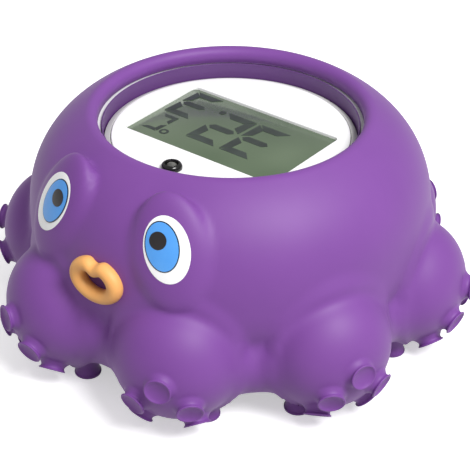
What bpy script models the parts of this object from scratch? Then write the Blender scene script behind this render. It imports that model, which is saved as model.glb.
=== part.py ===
"""Floating bath thermometer: a hollow rubber octopus that holds a round electronic module.

Frame: the origin is on the ground under the middle, +Z is up and the octopus faces -Y.
The rubber body is one hollow wall. Its rim grips the module's flange, and a collar
round the bottom opening grips the module's foot, so the air between them floats it.
"""
import math

import bmesh
import bpy
import numpy as np
from mathutils import Matrix, Vector

MM = 0.001

# Clearances
GAP = 0.3 * MM
SNUG = 0.15 * MM

# Octopus body: the domed head, a rounded form with an exponent between an ellipse and a box
PLATE_TOP_Z = 49.3 * MM
HEAD_RADIUS = 46.75 * MM
HEAD_EQUATOR_Z = PLATE_TOP_Z - 19.0 * MM
HEAD_RISE = 31.3 * MM
HEAD_DROP = 27.2 * MM
HEAD_EXPONENT = 2.45
HEAD_TUCK_EXPONENT = 2.2
WALL = 2.4 * MM

# Tentacles: a bulb each on a web that joins them, and a collar and a ridge where they leave the head
TENTACLES = 8
BULB_RING_RADIUS = 43.6 * MM
BULB_Z = 17.0 * MM
BULB_HALF_LENGTH = 12.8 * MM
BULB_HALF_WIDTH = 14.4 * MM
BULB_HALF_DEPTH = 14.5 * MM
WEB_RING_RADIUS = 40.5 * MM
WEB_Z = 14.2 * MM
WEB_REACH = 6.0 * MM
WEB_HALF_HEIGHT = 7.5 * MM
COLLAR_RING_RADIUS = 46.0 * MM
COLLAR_Z = 12.3 * MM
COLLAR_ARCH_RADIUS = 8.3 * MM
COLLAR_THICKNESS = 4.4 * MM
COLLAR_FADE = 2.2
RIDGE_RING_RADIUS = 44.8 * MM
RIDGE_Z = 17.2 * MM
RIDGE_ARCH_RADIUS = 15.4 * MM
RIDGE_THICKNESS = 2.3 * MM
RIDGE_FADE = 9.0

# Widths over which the forms flow into each other
BLEND_WEB = 4.5 * MM
BLEND_COLLAR = 7.1 * MM
BLEND_RIDGE = 3.0 * MM
BLEND_CREASE = 2.0 * MM
BLEND_NEIGHBOUR = 6.0 * MM
BLEND_EYE = 0.5 * MM

# Suction cups: two rows along each tentacle, given by side offset and angle below level
CUP_RING_RADIUS = 41.1 * MM
CUP_RING_Z = 17.2 * MM
CUP_ROW_OFFSET = 5.9 * MM
CUP_SLOPE_DEG = ((0, 0), (1, 23), (-1, 23), (1, 54), (-1, 54), (1, 90), (-1, 90))
CUP_NECK_RADIUS = 2.7 * MM
CUP_RIM_RADIUS = 3.1 * MM
CUP_HEIGHT = 1.7 * MM
CUP_RIM_WIDTH = 0.6 * MM
CUP_DISH_DEPTH = 0.8 * MM
CUP_ROOT = 1.6 * MM
CUP_SEGMENTS = 10

# Eyes: raised mounds with printed ovals, the right one is at +X
EYE_AZIMUTH = math.radians(21)
EYE_TILT = math.radians(22)
MOUND_Z = PLATE_TOP_Z - 5.6 * MM
MOUND_HALF_WIDTH = 8.6 * MM
MOUND_HALF_HEIGHT = 12.8 * MM
MOUND_THICKNESS = 3.2 * MM
MOUND_SINK = 1.4 * MM
MOUND_LEAN = math.radians(12)
WHITE_SHIFT_UP = 0.7 * MM
WHITE_HALF_WIDTH = 5.2 * MM
WHITE_HALF_HEIGHT = 7.3 * MM
IRIS_SHIFT = (-0.8 * MM, 0.8 * MM)
IRIS_HALF_WIDTH = 3.7 * MM
IRIS_HALF_HEIGHT = 5.3 * MM
PUPIL_SHIFT = (-1.4 * MM, 2.2 * MM)
PUPIL_RADIUS = 2.0 * MM
PRINT_LEAN = math.radians(16)
PRINT_THICKNESS = 0.2 * MM

# Lips
LIPS_Z = PLATE_TOP_Z - 16.1 * MM
LIPS_STANDOFF = 0.25 * MM
LIPS_HALF_WIDTH = 5.3 * MM
LIPS_HALF_HEIGHT = 3.85 * MM
LIPS_SIDE_THICKNESS = 1.85 * MM
LIPS_EDGE_THICKNESS = 1.6 * MM
LIPS_DEPTH = 1.9 * MM
LIPS_BOW_DEPTH = 1.3 * MM
LIPS_BOW_WIDTH = 1.5 * MM

# Module: radii from the display outwards
PLATE_MARGIN = 1.63 * MM
PLATE_THICKNESS = 1.8 * MM
BEZEL_WIDTH = 1.4 * MM
BEZEL_SLOPE = 0.55 * MM
TRIM_WALL = 0.3 * MM
TRIM_RISE = 3.0 * MM
FLANGE_WALL = 1.75 * MM
FLANGE_RISE = 2.3 * MM
FLANGE_HEIGHT = 9.7 * MM
SEAL_THICKNESS = 0.8 * MM
SEAL_WIDTH = 0.6 * MM
LEDGE_THICKNESS = 1.8 * MM
LEDGE_WIDTH = 0.8 * MM
FOOT_WALL = 1.6 * MM
FOOT_BOTTOM_Z = 8.5 * MM
FLOOR_THICKNESS = 2.0 * MM

# Rubber rim and bottom collar
RIM_CREST_RISE = 6.2 * MM
RIM_CREST_RADIUS = 32.0 * MM
RIM_OUTER_RADIUS = 33.2 * MM
RIM_LIP_OVERLAP = 1.1 * MM
RIM_SEAT_THICKNESS = 2.5 * MM
NECK_WALL = 2.7 * MM
COLLAR_HEIGHT = 5.0 * MM

# Display
WINDOW_LENGTH = 42.1 * MM
WINDOW_WIDTH = 26.0 * MM
WINDOW_CORNER = 1.3 * MM
WINDOW_FRAME_THICKNESS = 0.6 * MM
GLASS_OVERLAP = 1.1 * MM
GLASS_THICKNESS = 2.0 * MM
SEGMENT_HEIGHT = 0.08 * MM
LCD_FRAME_WALL = 1.4 * MM
LCD_FRAME_HEIGHT = 3.0 * MM
ZEBRA_WIDTH = 1.8 * MM

# Alarm lamp
LAMP_INSET = 6.2 * MM
LAMP_RADIUS = 2.4 * MM
LAMP_RISE = 1.4 * MM
LAMP_LENS_RADIUS = 1.25 * MM
LAMP_SHANK_RADIUS = 1.9 * MM

# Circuit board
BOARD_CLEARANCE = 0.6 * MM
BOARD_THICKNESS = 1.6 * MM
BOSS_ANGLE = math.radians(54)
BOSS_RADIUS = 2.1 * MM
BOARD_SCREW_RADIUS = 0.65 * MM
BOARD_SCREW_HEAD_RADIUS = 1.5 * MM
BOARD_SCREW_HEAD_HEIGHT = 1.2 * MM
BOARD_SCREW_BITE = 2.6 * MM
CHIP_RADIUS = 4.5 * MM
CHIP_HEIGHT = 1.7 * MM
CRYSTAL_RADIUS = 1.0 * MM
CRYSTAL_LENGTH = 6.0 * MM
CAPACITOR_RADIUS = 2.0 * MM
CAPACITOR_HEIGHT = 5.0 * MM
BUZZER_RADIUS = 6.0 * MM
BUZZER_HEIGHT = 5.0 * MM
BUZZER_HOLE_RADIUS = 1.0 * MM

# Battery bay and its door
CELL_RADIUS = 10.0 * MM
CELL_THICKNESS = 3.2 * MM
BAY_CLEARANCE = 1.0 * MM
BAY_WALL = 1.5 * MM
BAY_HEIGHT = 9.0 * MM
BAY_ROOF = 1.5 * MM
CONTACT_THICKNESS = 0.3 * MM
CONTACT_WIDTH = 3.0 * MM
CONTACT_TAB_RISE = 1.6 * MM
DOOR_RADIUS = 17.0 * MM
DOOR_THICKNESS = 1.8 * MM
DOOR_PLUG_HEIGHT = 3.6 * MM
DOOR_PLUG_WALL = 1.6 * MM
DOOR_GROOVE_DEPTH = 0.8 * MM
DOOR_GASKET_WIDTH = 1.2 * MM
DOOR_SCREW_X = 14.6 * MM
DOOR_SCREW_RADIUS = 0.9 * MM
DOOR_SCREW_HEAD_RADIUS = 1.9 * MM
DOOR_SCREW_HEAD_HEIGHT = 1.0 * MM
DOOR_SCREW_LENGTH = 6.0 * MM
DOOR_BOSS_RADIUS = 2.4 * MM

# Sensor and water contacts
SENSOR_INSET = 4.4 * MM
SENSOR_RADIUS = 2.9 * MM
SENSOR_WALL = 0.5 * MM
SENSOR_DROP = 3.2 * MM
SENSOR_FLANGE_RADIUS = 3.9 * MM
BEAD_RADIUS = 1.2 * MM
CONTACT_PIN_X = 5.5 * MM
CONTACT_PIN_RADIUS = 1.0 * MM
CONTACT_PIN_HEAD_RADIUS = 1.8 * MM
CONTACT_PIN_HEAD_HEIGHT = 1.3 * MM
CONTACT_PIN_LENGTH = 6.0 * MM
LEAD_RADIUS = 0.5 * MM
LEAD_SPREAD = 3.0 * MM
LEAD_BOW = 5.5 * MM

# Facets
AZIMUTHS = 80
SKIN_POINTS = 22
LINING_POINTS = 7
ROUND_SEGMENTS = 48
SMALL_SEGMENTS = 16

# Heights and radii that follow from the sizes above
GLASS_LENGTH = WINDOW_LENGTH + 2 * GLASS_OVERLAP
GLASS_WIDTH = WINDOW_WIDTH + 2 * GLASS_OVERLAP
GLASS_REACH = math.hypot(GLASS_LENGTH / 2 - WINDOW_CORNER, GLASS_WIDTH / 2 - WINDOW_CORNER) + WINDOW_CORNER
PLATE_RADIUS = GLASS_REACH + PLATE_MARGIN
FLANGE_TOP_Z = PLATE_TOP_Z + FLANGE_RISE
FLANGE_BOTTOM_Z = FLANGE_TOP_Z - FLANGE_HEIGHT
PLATE_BOTTOM_Z = PLATE_TOP_Z - PLATE_THICKNESS
LEDGE_TOP_Z = PLATE_BOTTOM_Z - SEAL_THICKNESS - 2 * SNUG
LEDGE_BOTTOM_Z = LEDGE_TOP_Z - LEDGE_THICKNESS
SHOULDER_Z = LEDGE_BOTTOM_Z - GAP
BEZEL_INNER_RADIUS = PLATE_RADIUS + SNUG
BEZEL_OUTER_RADIUS = BEZEL_INNER_RADIUS + BEZEL_WIDTH
TRIM_INNER_RADIUS = BEZEL_OUTER_RADIUS + 0.25 * MM
TRIM_OUTER_RADIUS = TRIM_INNER_RADIUS + TRIM_WALL
FLANGE_INNER_RADIUS = TRIM_OUTER_RADIUS + SNUG
FLANGE_OUTER_RADIUS = FLANGE_INNER_RADIUS + FLANGE_WALL
FOOT_INNER_RADIUS = GLASS_REACH + GAP
FOOT_OUTER_RADIUS = FOOT_INNER_RADIUS + FOOT_WALL
FLOOR_TOP_Z = FOOT_BOTTOM_Z + FLOOR_THICKNESS
LIP_RADIUS = FLANGE_OUTER_RADIUS - RIM_LIP_OVERLAP
GLASS_TOP_Z = PLATE_TOP_Z - WINDOW_FRAME_THICKNESS - SNUG
GLASS_BOTTOM_Z = GLASS_TOP_Z - GLASS_THICKNESS
LCD_FRAME_TOP_Z = GLASS_BOTTOM_Z - SNUG
LCD_FRAME_BOTTOM_Z = LCD_FRAME_TOP_Z - LCD_FRAME_HEIGHT
BOARD_TOP_Z = LCD_FRAME_BOTTOM_Z - SNUG
BOARD_BOTTOM_Z = BOARD_TOP_Z - BOARD_THICKNESS
BOARD_RADIUS = FOOT_INNER_RADIUS - BOARD_CLEARANCE
BOSS_RING_RADIUS = FOOT_INNER_RADIUS - BOSS_RADIUS - 1.5 * GAP
BOSS_X = BOSS_RING_RADIUS * math.cos(BOSS_ANGLE)
BOSS_Y = BOSS_RING_RADIUS * math.sin(BOSS_ANGLE)
LAMP_Y = LAMP_INSET - PLATE_RADIUS
SENSOR_Y = FOOT_INNER_RADIUS - SENSOR_INSET
CONTACT_PIN_Y = -SENSOR_Y
LIPS_RADIUS = HEAD_RADIUS + LIPS_STANDOFF
BAY_INNER_RADIUS = CELL_RADIUS + BAY_CLEARANCE
BAY_OUTER_RADIUS = BAY_INNER_RADIUS + BAY_WALL
BAY_CEILING_Z = FOOT_BOTTOM_Z + BAY_HEIGHT
BAY_TOP_Z = BAY_CEILING_Z + BAY_ROOF
DOOR_TOP_Z = FOOT_BOTTOM_Z - GAP
DOOR_BOTTOM_Z = DOOR_TOP_Z - DOOR_THICKNESS
PLUG_TOP_Z = DOOR_TOP_Z + DOOR_PLUG_HEIGHT
CELL_BOTTOM_Z = PLUG_TOP_Z + GAP
PITCH = 2 * math.pi / TENTACLES


def new_collection(name):
    """A collection in the scene."""
    collection = bpy.data.collections.new(name)
    bpy.context.scene.collection.children.link(collection)
    return collection


def material(name, color, roughness, metallic=0.0):
    """A plain surface with the piece's colour."""
    mat = bpy.data.materials.new(name)
    mat.use_nodes = True
    shader = mat.node_tree.nodes["Principled BSDF"]
    shader.inputs["Base Color"].default_value = (*color, 1.0)
    shader.inputs["Roughness"].default_value = roughness
    shader.inputs["Metallic"].default_value = metallic
    return mat


def place(obj, name, mat, collection):
    """Name an object, give it its material and put it in its collection."""
    obj.name = name
    obj.data.name = name
    obj.data.materials.clear()
    obj.data.materials.append(mat)
    for other in list(obj.users_collection):
        other.objects.unlink(obj)
    collection.objects.link(obj)
    return obj


def smooth(obj, angle=40):
    """Shade round faces smooth and keep the edges crisp."""
    obj.data.shade_smooth()
    obj.data.set_sharp_from_angle(angle=math.radians(angle))
    return obj


def from_bmesh(bm, name, mat, collection):
    """An object from a finished bmesh."""
    mesh = bpy.data.meshes.new(name)
    bm.to_mesh(mesh)
    bm.free()
    obj = bpy.data.objects.new(name, mesh)
    return place(obj, name, mat, collection)


def turned(name, profile, mat, collection, segments=ROUND_SEGMENTS, centre=(0.0, 0.0), closed=False):
    """A turned piece: the profile's radius and height pairs run down its outer side."""
    mesh = bpy.data.meshes.new(name)
    count = len(profile)
    edges = [(i, i + 1) for i in range(count - 1)]
    if closed:
        edges.append((count - 1, 0))
    mesh.from_pydata([(r, 0.0, z) for r, z in profile], edges, [])
    obj = bpy.data.objects.new(name, mesh)
    obj.location = (centre[0], centre[1], 0.0)
    screw = obj.modifiers.new("turn", "SCREW")
    screw.axis = "Z"
    screw.steps = segments
    screw.render_steps = segments
    screw.use_merge_vertices = True
    screw.merge_threshold = 0.00001
    screw.use_smooth_shade = False
    return place(obj, name, mat, collection)


def ring_profile(inner, outer, bottom, top):
    """A square section, outer side downwards."""
    return [(inner, top), (outer, top), (outer, bottom), (inner, bottom)]


def disc_profile(radius, bottom, top):
    """A solid disc's section, from the axis over its rim and back."""
    return [(0.0, top), (radius, top), (radius, bottom), (0.0, bottom)]


def box(name, size, centre, mat, collection):
    """A block from a cube, with its size applied."""
    bpy.ops.mesh.primitive_cube_add(size=1.0)
    obj = bpy.context.object
    obj.data.transform(Matrix.Diagonal((*size, 1.0)))
    obj.location = centre
    return place(obj, name, mat, collection)


def cylinder(name, radius, bottom, top, at, mat, collection, segments=SMALL_SEGMENTS):
    """An upright cylinder between two heights."""
    bpy.ops.mesh.primitive_cylinder_add(vertices=segments, radius=radius, depth=top - bottom)
    obj = bpy.context.object
    obj.location = (at[0], at[1], (top + bottom) / 2)
    return place(obj, name, mat, collection)


def rounded_block(name, length, width, corner, bottom, top, mat, collection):
    """A flat block whose upright corners are rounded."""
    obj = box(name, (length, width, top - bottom), (0, 0, (top + bottom) / 2), mat, collection)
    bm = bmesh.new()
    bm.from_mesh(obj.data)
    upright = [e for e in bm.edges if abs(e.verts[0].co.z - e.verts[1].co.z) > (top - bottom) / 2]
    bmesh.ops.bevel(bm, geom=upright, offset=corner, offset_type="OFFSET", segments=3, profile=0.5,
                    affect="EDGES", material=-1)
    bm.to_mesh(obj.data)
    bm.free()
    return obj


def boolean(obj, tool, operation):
    """Cut or join another form, which stays in the scene as a hidden tool."""
    tool.hide_render = True
    tool.display_type = "WIRE"
    modifier = obj.modifiers.new(tool.name, "BOOLEAN")
    modifier.operation = operation
    modifier.solver = "EXACT"
    modifier.object = tool
    return obj


# The octopus as a distance field: negative inside, zero on the skin

def blend(a, b, width):
    """Join two fields with a fillet of the given width."""
    share = np.clip(0.5 + 0.5 * (b - a) / width, 0, 1)
    return b + (a - b) * share - width * share * (1 - share)


def oval_field(x, y, z, axes):
    """Distance to an ellipsoid, near enough for modelling."""
    scaled = np.sqrt((x / axes[0]) ** 2 + (y / axes[1]) ** 2 + (z / axes[2]) ** 2) + 1e-9
    slope = np.sqrt((x / axes[0] ** 2) ** 2 + (y / axes[1] ** 2) ** 2 + (z / axes[2] ** 2) ** 2) + 1e-9
    return scaled * (scaled - 1) / slope


def head_field(radius, z):
    """The domed head, with a gentler tuck below its equator."""
    rise = z - HEAD_EQUATOR_Z
    half = np.where(rise > 0, HEAD_RISE, HEAD_DROP)
    power = np.where(rise > 0, HEAD_EXPONENT, HEAD_TUCK_EXPONENT)
    u = radius / HEAD_RADIUS + 1e-9
    v = np.abs(rise) / half + 1e-9
    level = (u ** power + v ** power) ** (1 / power)
    along = (u / level) ** (power - 1) / HEAD_RADIUS
    up = (v / level) ** (power - 1) / half
    return (level - 1) / np.sqrt(along ** 2 + up ** 2)


def arch_field(out, side, z, ring_radius, arch_radius, thickness, fade):
    """A half ring over a tentacle, thickest at its top and fading down its sides."""
    reach = np.hypot(side, z) + 1e-9
    thick = thickness * (0.5 + 0.5 * z / reach) ** fade
    return np.hypot(reach - arch_radius, out - ring_radius) - thick


def tentacle_fields(p):
    """The nearest bulbs, and the collars and ridges above them."""
    angle = np.arctan2(p[..., 1], p[..., 0]) + math.pi / 2 - PITCH / 2
    local = (angle + PITCH / 2) % PITCH - PITCH / 2
    radius = np.hypot(p[..., 0], p[..., 1])
    bulb, collar, ridge = None, None, None
    for step in (-1, 0, 1):
        out = radius * np.cos(local + step * PITCH)
        side = radius * np.sin(local + step * PITCH)
        new_bulb = oval_field(out - BULB_RING_RADIUS, side, p[..., 2] - BULB_Z,
                              (BULB_HALF_LENGTH, BULB_HALF_WIDTH, BULB_HALF_DEPTH))
        new_collar = arch_field(out, side, p[..., 2] - COLLAR_Z, COLLAR_RING_RADIUS, COLLAR_ARCH_RADIUS,
                                COLLAR_THICKNESS, COLLAR_FADE)
        new_ridge = arch_field(out, side, p[..., 2] - RIDGE_Z, RIDGE_RING_RADIUS, RIDGE_ARCH_RADIUS,
                               RIDGE_THICKNESS, RIDGE_FADE)
        bulb = new_bulb if bulb is None else blend(bulb, new_bulb, BLEND_NEIGHBOUR)
        collar = new_collar if collar is None else blend(collar, new_collar, BLEND_NEIGHBOUR)
        ridge = new_ridge if ridge is None else blend(ridge, new_ridge, BLEND_NEIGHBOUR)
    return bulb, collar, ridge


def eye_axes(lean):
    """The eye's outward, sideways and upward directions on the +X side."""
    flat = math.cos(EYE_TILT)
    out = np.array([math.sin(EYE_AZIMUTH) * flat, -math.cos(EYE_AZIMUTH) * flat, math.sin(EYE_TILT)])
    side = np.array([math.cos(EYE_AZIMUTH), math.sin(EYE_AZIMUTH), 0.0])
    up = np.cross(out, side)
    up = up if up[2] > 0 else -up
    return out, side * math.cos(lean) + up * math.sin(lean), up * math.cos(lean) - side * math.sin(lean)


def eye_seat():
    """The point of the head's skin behind the middle of the mound."""
    rise = (MOUND_Z - HEAD_EQUATOR_Z) / HEAD_RISE
    radius = HEAD_RADIUS * (1 - rise ** HEAD_EXPONENT) ** (1 / HEAD_EXPONENT)
    return np.array([math.sin(EYE_AZIMUTH) * radius, -math.cos(EYE_AZIMUTH) * radius, MOUND_Z])


def mound_field(p):
    """The raised ovals round the eyes, mirrored across the face."""
    out, side, up = eye_axes(MOUND_LEAN)
    q = np.stack([np.abs(p[..., 0]), p[..., 1], p[..., 2]], -1) - (eye_seat() - out * MOUND_SINK)
    return oval_field(q @ side, q @ up, q @ out, (MOUND_HALF_WIDTH, MOUND_HALF_HEIGHT, MOUND_THICKNESS))


def body_field(p):
    """The whole skin without its suction cups."""
    radius = np.hypot(p[..., 0], p[..., 1])
    web = oval_field(radius - WEB_RING_RADIUS, 0.0, p[..., 2] - WEB_Z, (WEB_REACH, 1.0, WEB_HALF_HEIGHT))
    bulb, collar, ridge = tentacle_fields(p)
    lower = blend(web, bulb, BLEND_WEB)
    upper = blend(head_field(radius, p[..., 2]), collar, BLEND_COLLAR)
    upper = blend(upper, ridge, BLEND_RIDGE)
    return blend(blend(upper, lower, BLEND_CREASE), mound_field(p), BLEND_EYE)


def reach_of_skin(start, direction, depth, far):
    """Distance along each ray to the outermost place that lies the given depth inside the skin."""
    steps = np.linspace(far, 0, 80)
    high = np.full(direction.shape[:-1], far)
    low = np.zeros_like(high)
    found = np.zeros(high.shape, bool)
    for step in steps:
        inside = body_field(start + direction * step) < -depth
        first = inside & ~found
        low[first] = step
        high[~found & ~inside] = step
        found |= inside
    for _ in range(18):
        middle = (low + high) / 2
        inside = body_field(start + direction * middle[..., None]) < -depth
        low = np.where(inside, middle, low)
        high = np.where(inside, high, middle)
    return low


def skin_normal(p):
    """The field's outward direction at a point."""
    step = 0.05 * MM
    slope = [body_field(p + np.eye(3)[k] * step) - body_field(p - np.eye(3)[k] * step) for k in range(3)]
    slope = np.stack(slope, -1)
    return slope / np.linalg.norm(slope, axis=-1, keepdims=True)


# Octopus body

RAY_RING_RADIUS = 24.0 * MM
RAY_RING_Z = 21.3 * MM
RAY_FAR = 60.0 * MM
LINING_TOP_DEG = 60.0
LINING_BOTTOM_DEG = -44.0
SKIN_BOTTOM_DEG = -62.0


def ray_points(azimuths, angles, depth):
    """Points of the skin, or inside it, in each azimuth's plane."""
    out = np.stack([np.cos(azimuths), np.sin(azimuths), np.zeros_like(azimuths)], -1)
    start = out[:, None, :] * RAY_RING_RADIUS + np.array([0, 0, RAY_RING_Z])
    level = out[:, None, :] * np.cos(angles)[None, :, None]
    direction = level + np.array([0, 0, 1.0]) * np.sin(angles)[None, :, None]
    start = np.broadcast_to(start, direction.shape)
    return start + direction * reach_of_skin(start, direction, depth, RAY_FAR)[..., None]


def circle_points(azimuths, profile):
    """The same radius and height pairs in each azimuth's plane."""
    out = np.stack([np.cos(azimuths), np.sin(azimuths), np.zeros_like(azimuths)], -1)
    radius = np.array([r for r, _ in profile])
    height = np.array([z for _, z in profile])
    return out[:, None, :] * radius[None, :, None] + np.array([0, 0, 1.0]) * height[None, :, None]


def octopus_shell(mat, parts, tools):
    """One closed wall: skin outside, lining inside, rim lip above and foot collar below."""
    groove_radius = FLANGE_OUTER_RADIUS + GAP
    collar_radius = FOOT_OUTER_RADIUS + GAP
    seat_top = FLANGE_BOTTOM_Z - GAP
    seat_bottom = seat_top - RIM_SEAT_THICKNESS
    lip_bottom = FLANGE_TOP_Z + GAP
    crest_z = PLATE_TOP_Z + RIM_CREST_RISE
    rim = [
        (LIP_RADIUS, lip_bottom),
        (LIP_RADIUS + 0.1 * MM, crest_z - 1.8 * MM),
        (LIP_RADIUS + 0.5 * MM, crest_z - 0.7 * MM),
        (RIM_CREST_RADIUS - 0.8 * MM, crest_z - 0.12 * MM),
        (RIM_CREST_RADIUS, crest_z),
    ]
    foot = [
        (collar_radius + 2.6 * MM, FOOT_BOTTOM_Z - 3.6 * MM),
        (collar_radius + 0.9 * MM, FOOT_BOTTOM_Z - 3.4 * MM),
        (collar_radius, FOOT_BOTTOM_Z - 2.4 * MM),
        (collar_radius, FOOT_BOTTOM_Z - 2.4 * MM + COLLAR_HEIGHT),
        (collar_radius + WALL, FOOT_BOTTOM_Z - 2.4 * MM + COLLAR_HEIGHT),
    ]
    neck = [
        (groove_radius + NECK_WALL + 0.8 * MM, FLANGE_TOP_Z - 2.6 * MM),
        (groove_radius + NECK_WALL, FLANGE_TOP_Z - 4.5 * MM),
        (groove_radius + NECK_WALL, seat_top - 0.8 * MM),
        (groove_radius, seat_bottom),
        (collar_radius, seat_bottom),
        (collar_radius, seat_top),
        (groove_radius, seat_top),
        (groove_radius, lip_bottom),
    ]
    azimuths = np.arange(AZIMUTHS) * 2 * math.pi / AZIMUTHS
    top = math.atan2(crest_z - RAY_RING_Z - 0.35 * MM, RIM_OUTER_RADIUS - RAY_RING_RADIUS)
    skin = ray_points(azimuths, np.linspace(top, math.radians(SKIN_BOTTOM_DEG), SKIN_POINTS), 0.0)
    lining_angles = np.radians(np.linspace(LINING_BOTTOM_DEG, LINING_TOP_DEG, LINING_POINTS))
    lining = ray_points(azimuths, lining_angles, WALL)
    section = np.concatenate([circle_points(azimuths, rim), skin, circle_points(azimuths, foot), lining,
                              circle_points(azimuths, neck)], axis=1)
    count = section.shape[1]
    bpy.ops.mesh.primitive_torus_add(major_segments=AZIMUTHS, minor_segments=count,
                                     major_radius=BULB_RING_RADIUS, minor_radius=BULB_HALF_DEPTH)
    shell = place(bpy.context.object, "octopus_shell", mat, parts)
    # a torus counts its section from the outside upwards, and this section runs the other way
    shell.data.vertices.foreach_set("co", section[:, ::-1].reshape(-1))
    shell.data.update()
    boolean(shell, cup_forms(mat, tools), "UNION")
    return smooth(shell, 50)


def cup_forms(mat, tools):
    """The suction cups of all the tentacles, as one tool."""
    bm = bmesh.new()
    for tentacle in range(TENTACLES):
        azimuth = -math.pi / 2 + PITCH * (tentacle + 0.5)
        out = np.array([math.cos(azimuth), math.sin(azimuth), 0.0])
        side = np.array([-math.sin(azimuth), math.cos(azimuth), 0.0])
        for row, slope in CUP_SLOPE_DEG:
            start = out * CUP_RING_RADIUS + side * row * CUP_ROW_OFFSET + np.array([0, 0, CUP_RING_Z])
            angle = math.radians(slope)
            ray = out * math.cos(angle) - np.array([0, 0, 1.0]) * math.sin(angle)
            at = start + ray * reach_of_skin(start, ray, 0.0, 2 * CUP_RING_Z)
            axis = Vector(skin_normal(at))
            top = Vector(at) + axis * CUP_HEIGHT
            if slope == 90:
                axis = Vector((0, 0, -1))
                top = Vector((at[0], at[1], 0.0))
            add_cup(bm, top, axis, (Vector(at) - top).length + CUP_ROOT)
    bmesh.ops.recalc_face_normals(bm, faces=bm.faces)
    return from_bmesh(bm, "cup_forms", mat, tools)


def add_cup(bm, top, axis, depth):
    """A flared disc with a flat rim round a shallow dish, and its root in the tentacle."""
    made = bmesh.ops.create_cone(bm, cap_ends=True, segments=CUP_SEGMENTS, radius1=CUP_NECK_RADIUS,
                                 radius2=CUP_RIM_RADIUS, depth=depth)
    faces = {f for v in made["verts"] for f in v.link_faces}
    mouth = max(faces, key=lambda f: f.calc_center_median().z)
    rim = bmesh.ops.inset_region(bm, faces=[mouth], thickness=CUP_RIM_WIDTH, use_even_offset=True)["faces"]
    dish = bmesh.ops.poke(bm, faces=[mouth], offset=-CUP_DISH_DEPTH, center_mode="MEAN")
    verts = set(made["verts"]) | {v for f in rim + dish["faces"] for v in f.verts}
    turn = Vector((0, 0, 1)).rotation_difference(axis).to_matrix().to_4x4()
    shift = Matrix.Translation(top) @ turn @ Matrix.Translation((0, 0, -depth / 2))
    bmesh.ops.transform(bm, matrix=shift, verts=list(verts))


# Face

def printed_oval(name, axes, shift, layer, mirror, mat, parts):
    """A thin printed oval that follows the mound, on the given layer of ink."""
    out, side, up = eye_axes(PRINT_LEAN)
    seat = eye_seat() + up * WHITE_SHIFT_UP + side * shift[0] + up * shift[1]
    bpy.ops.mesh.primitive_uv_sphere_add(segments=18, ring_count=6, radius=1.0)
    oval = place(bpy.context.object, name, mat, parts)
    unit = np.array([tuple(v.co) for v in oval.data.vertices])
    flat = seat + unit[:, :1] * axes[0] * side + unit[:, 1:2] * axes[1] * up
    start = flat + out * MOUND_THICKNESS * 2
    drop = np.broadcast_to(-out, start.shape)
    span = 4 * MOUND_THICKNESS
    # the first place on the way in where the skin is met
    reach = span - reach_of_skin(start + drop * span, -drop, 0.0, span)
    skin = start + drop * reach[:, None]
    height = SNUG + PRINT_THICKNESS / 2 + layer * (SNUG + PRINT_THICKNESS)
    points = skin + out * (height + np.sign(np.round(unit[:, 2:3], 4)) * PRINT_THICKNESS / 2)
    if mirror:
        points[:, 0] *= -1
    oval.data.vertices.foreach_set("co", points.reshape(-1))
    bm = bmesh.new()
    bm.from_mesh(oval.data)
    bmesh.ops.recalc_face_normals(bm, faces=bm.faces)
    bm.to_mesh(oval.data)
    bm.free()
    return smooth(oval)


def lips(mat, parts):
    """A soft oval ring with a bow in its upper side, seated on the skin."""
    bpy.ops.mesh.primitive_torus_add(major_segments=28, minor_segments=10, major_radius=1.0, minor_radius=0.25)
    ring = place(bpy.context.object, "mouth_lips", mat, parts)
    co = np.array([tuple(v.co) for v in ring.data.vertices])
    around = np.arctan2(co[:, 1], co[:, 0])
    off = (np.hypot(co[:, 0], co[:, 1]) - 1.0) / 0.25
    front = co[:, 2] / 0.25
    half_width = LIPS_HALF_WIDTH + off * LIPS_SIDE_THICKNESS
    half_height = LIPS_HALF_HEIGHT + off * LIPS_EDGE_THICKNESS
    x = np.cos(around) * half_width
    z = np.sin(around) * half_height
    bow = LIPS_BOW_DEPTH * np.exp(-(x / LIPS_BOW_WIDTH) ** 2) * np.clip(np.sin(around), 0, 1)
    points = np.stack([x, -LIPS_RADIUS - front * LIPS_DEPTH, LIPS_Z + z - bow], -1)
    for _ in range(4):
        depth = np.clip(GAP - body_field(points), 0, None)
        points = points + skin_normal(points) * depth[:, None]
    ring.data.vertices.foreach_set("co", points.reshape(-1))
    bm = bmesh.new()
    bm.from_mesh(ring.data)
    bmesh.ops.recalc_face_normals(bm, faces=bm.faces)
    bm.to_mesh(ring.data)
    bm.free()
    return smooth(ring, 60)


def face(parts):
    """Eyes and lips."""
    lips(material("lips_rubber", (0.87, 0.42, 0.12), 0.5), parts)
    white = material("eye_white_ink", (0.9, 0.9, 0.9), 0.4)
    blue = material("iris_blue_ink", (0.09, 0.36, 0.85), 0.4)
    black = material("pupil_black_ink", (0.02, 0.018, 0.018), 0.4)
    white_axes = (WHITE_HALF_WIDTH, WHITE_HALF_HEIGHT)
    iris_axes = (IRIS_HALF_WIDTH, IRIS_HALF_HEIGHT)
    pupil_axes = (PUPIL_RADIUS, PUPIL_RADIUS)
    for word, mirror in (("left", True), ("right", False)):
        printed_oval("eye_white_" + word, white_axes, (0.0, 0.0), 0, mirror, white, parts)
        printed_oval("iris_" + word, iris_axes, IRIS_SHIFT, 1, mirror, blue, parts)
        printed_oval("pupil_" + word, pupil_axes, PUPIL_SHIFT, 2, mirror, black, parts)


# Module

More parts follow.
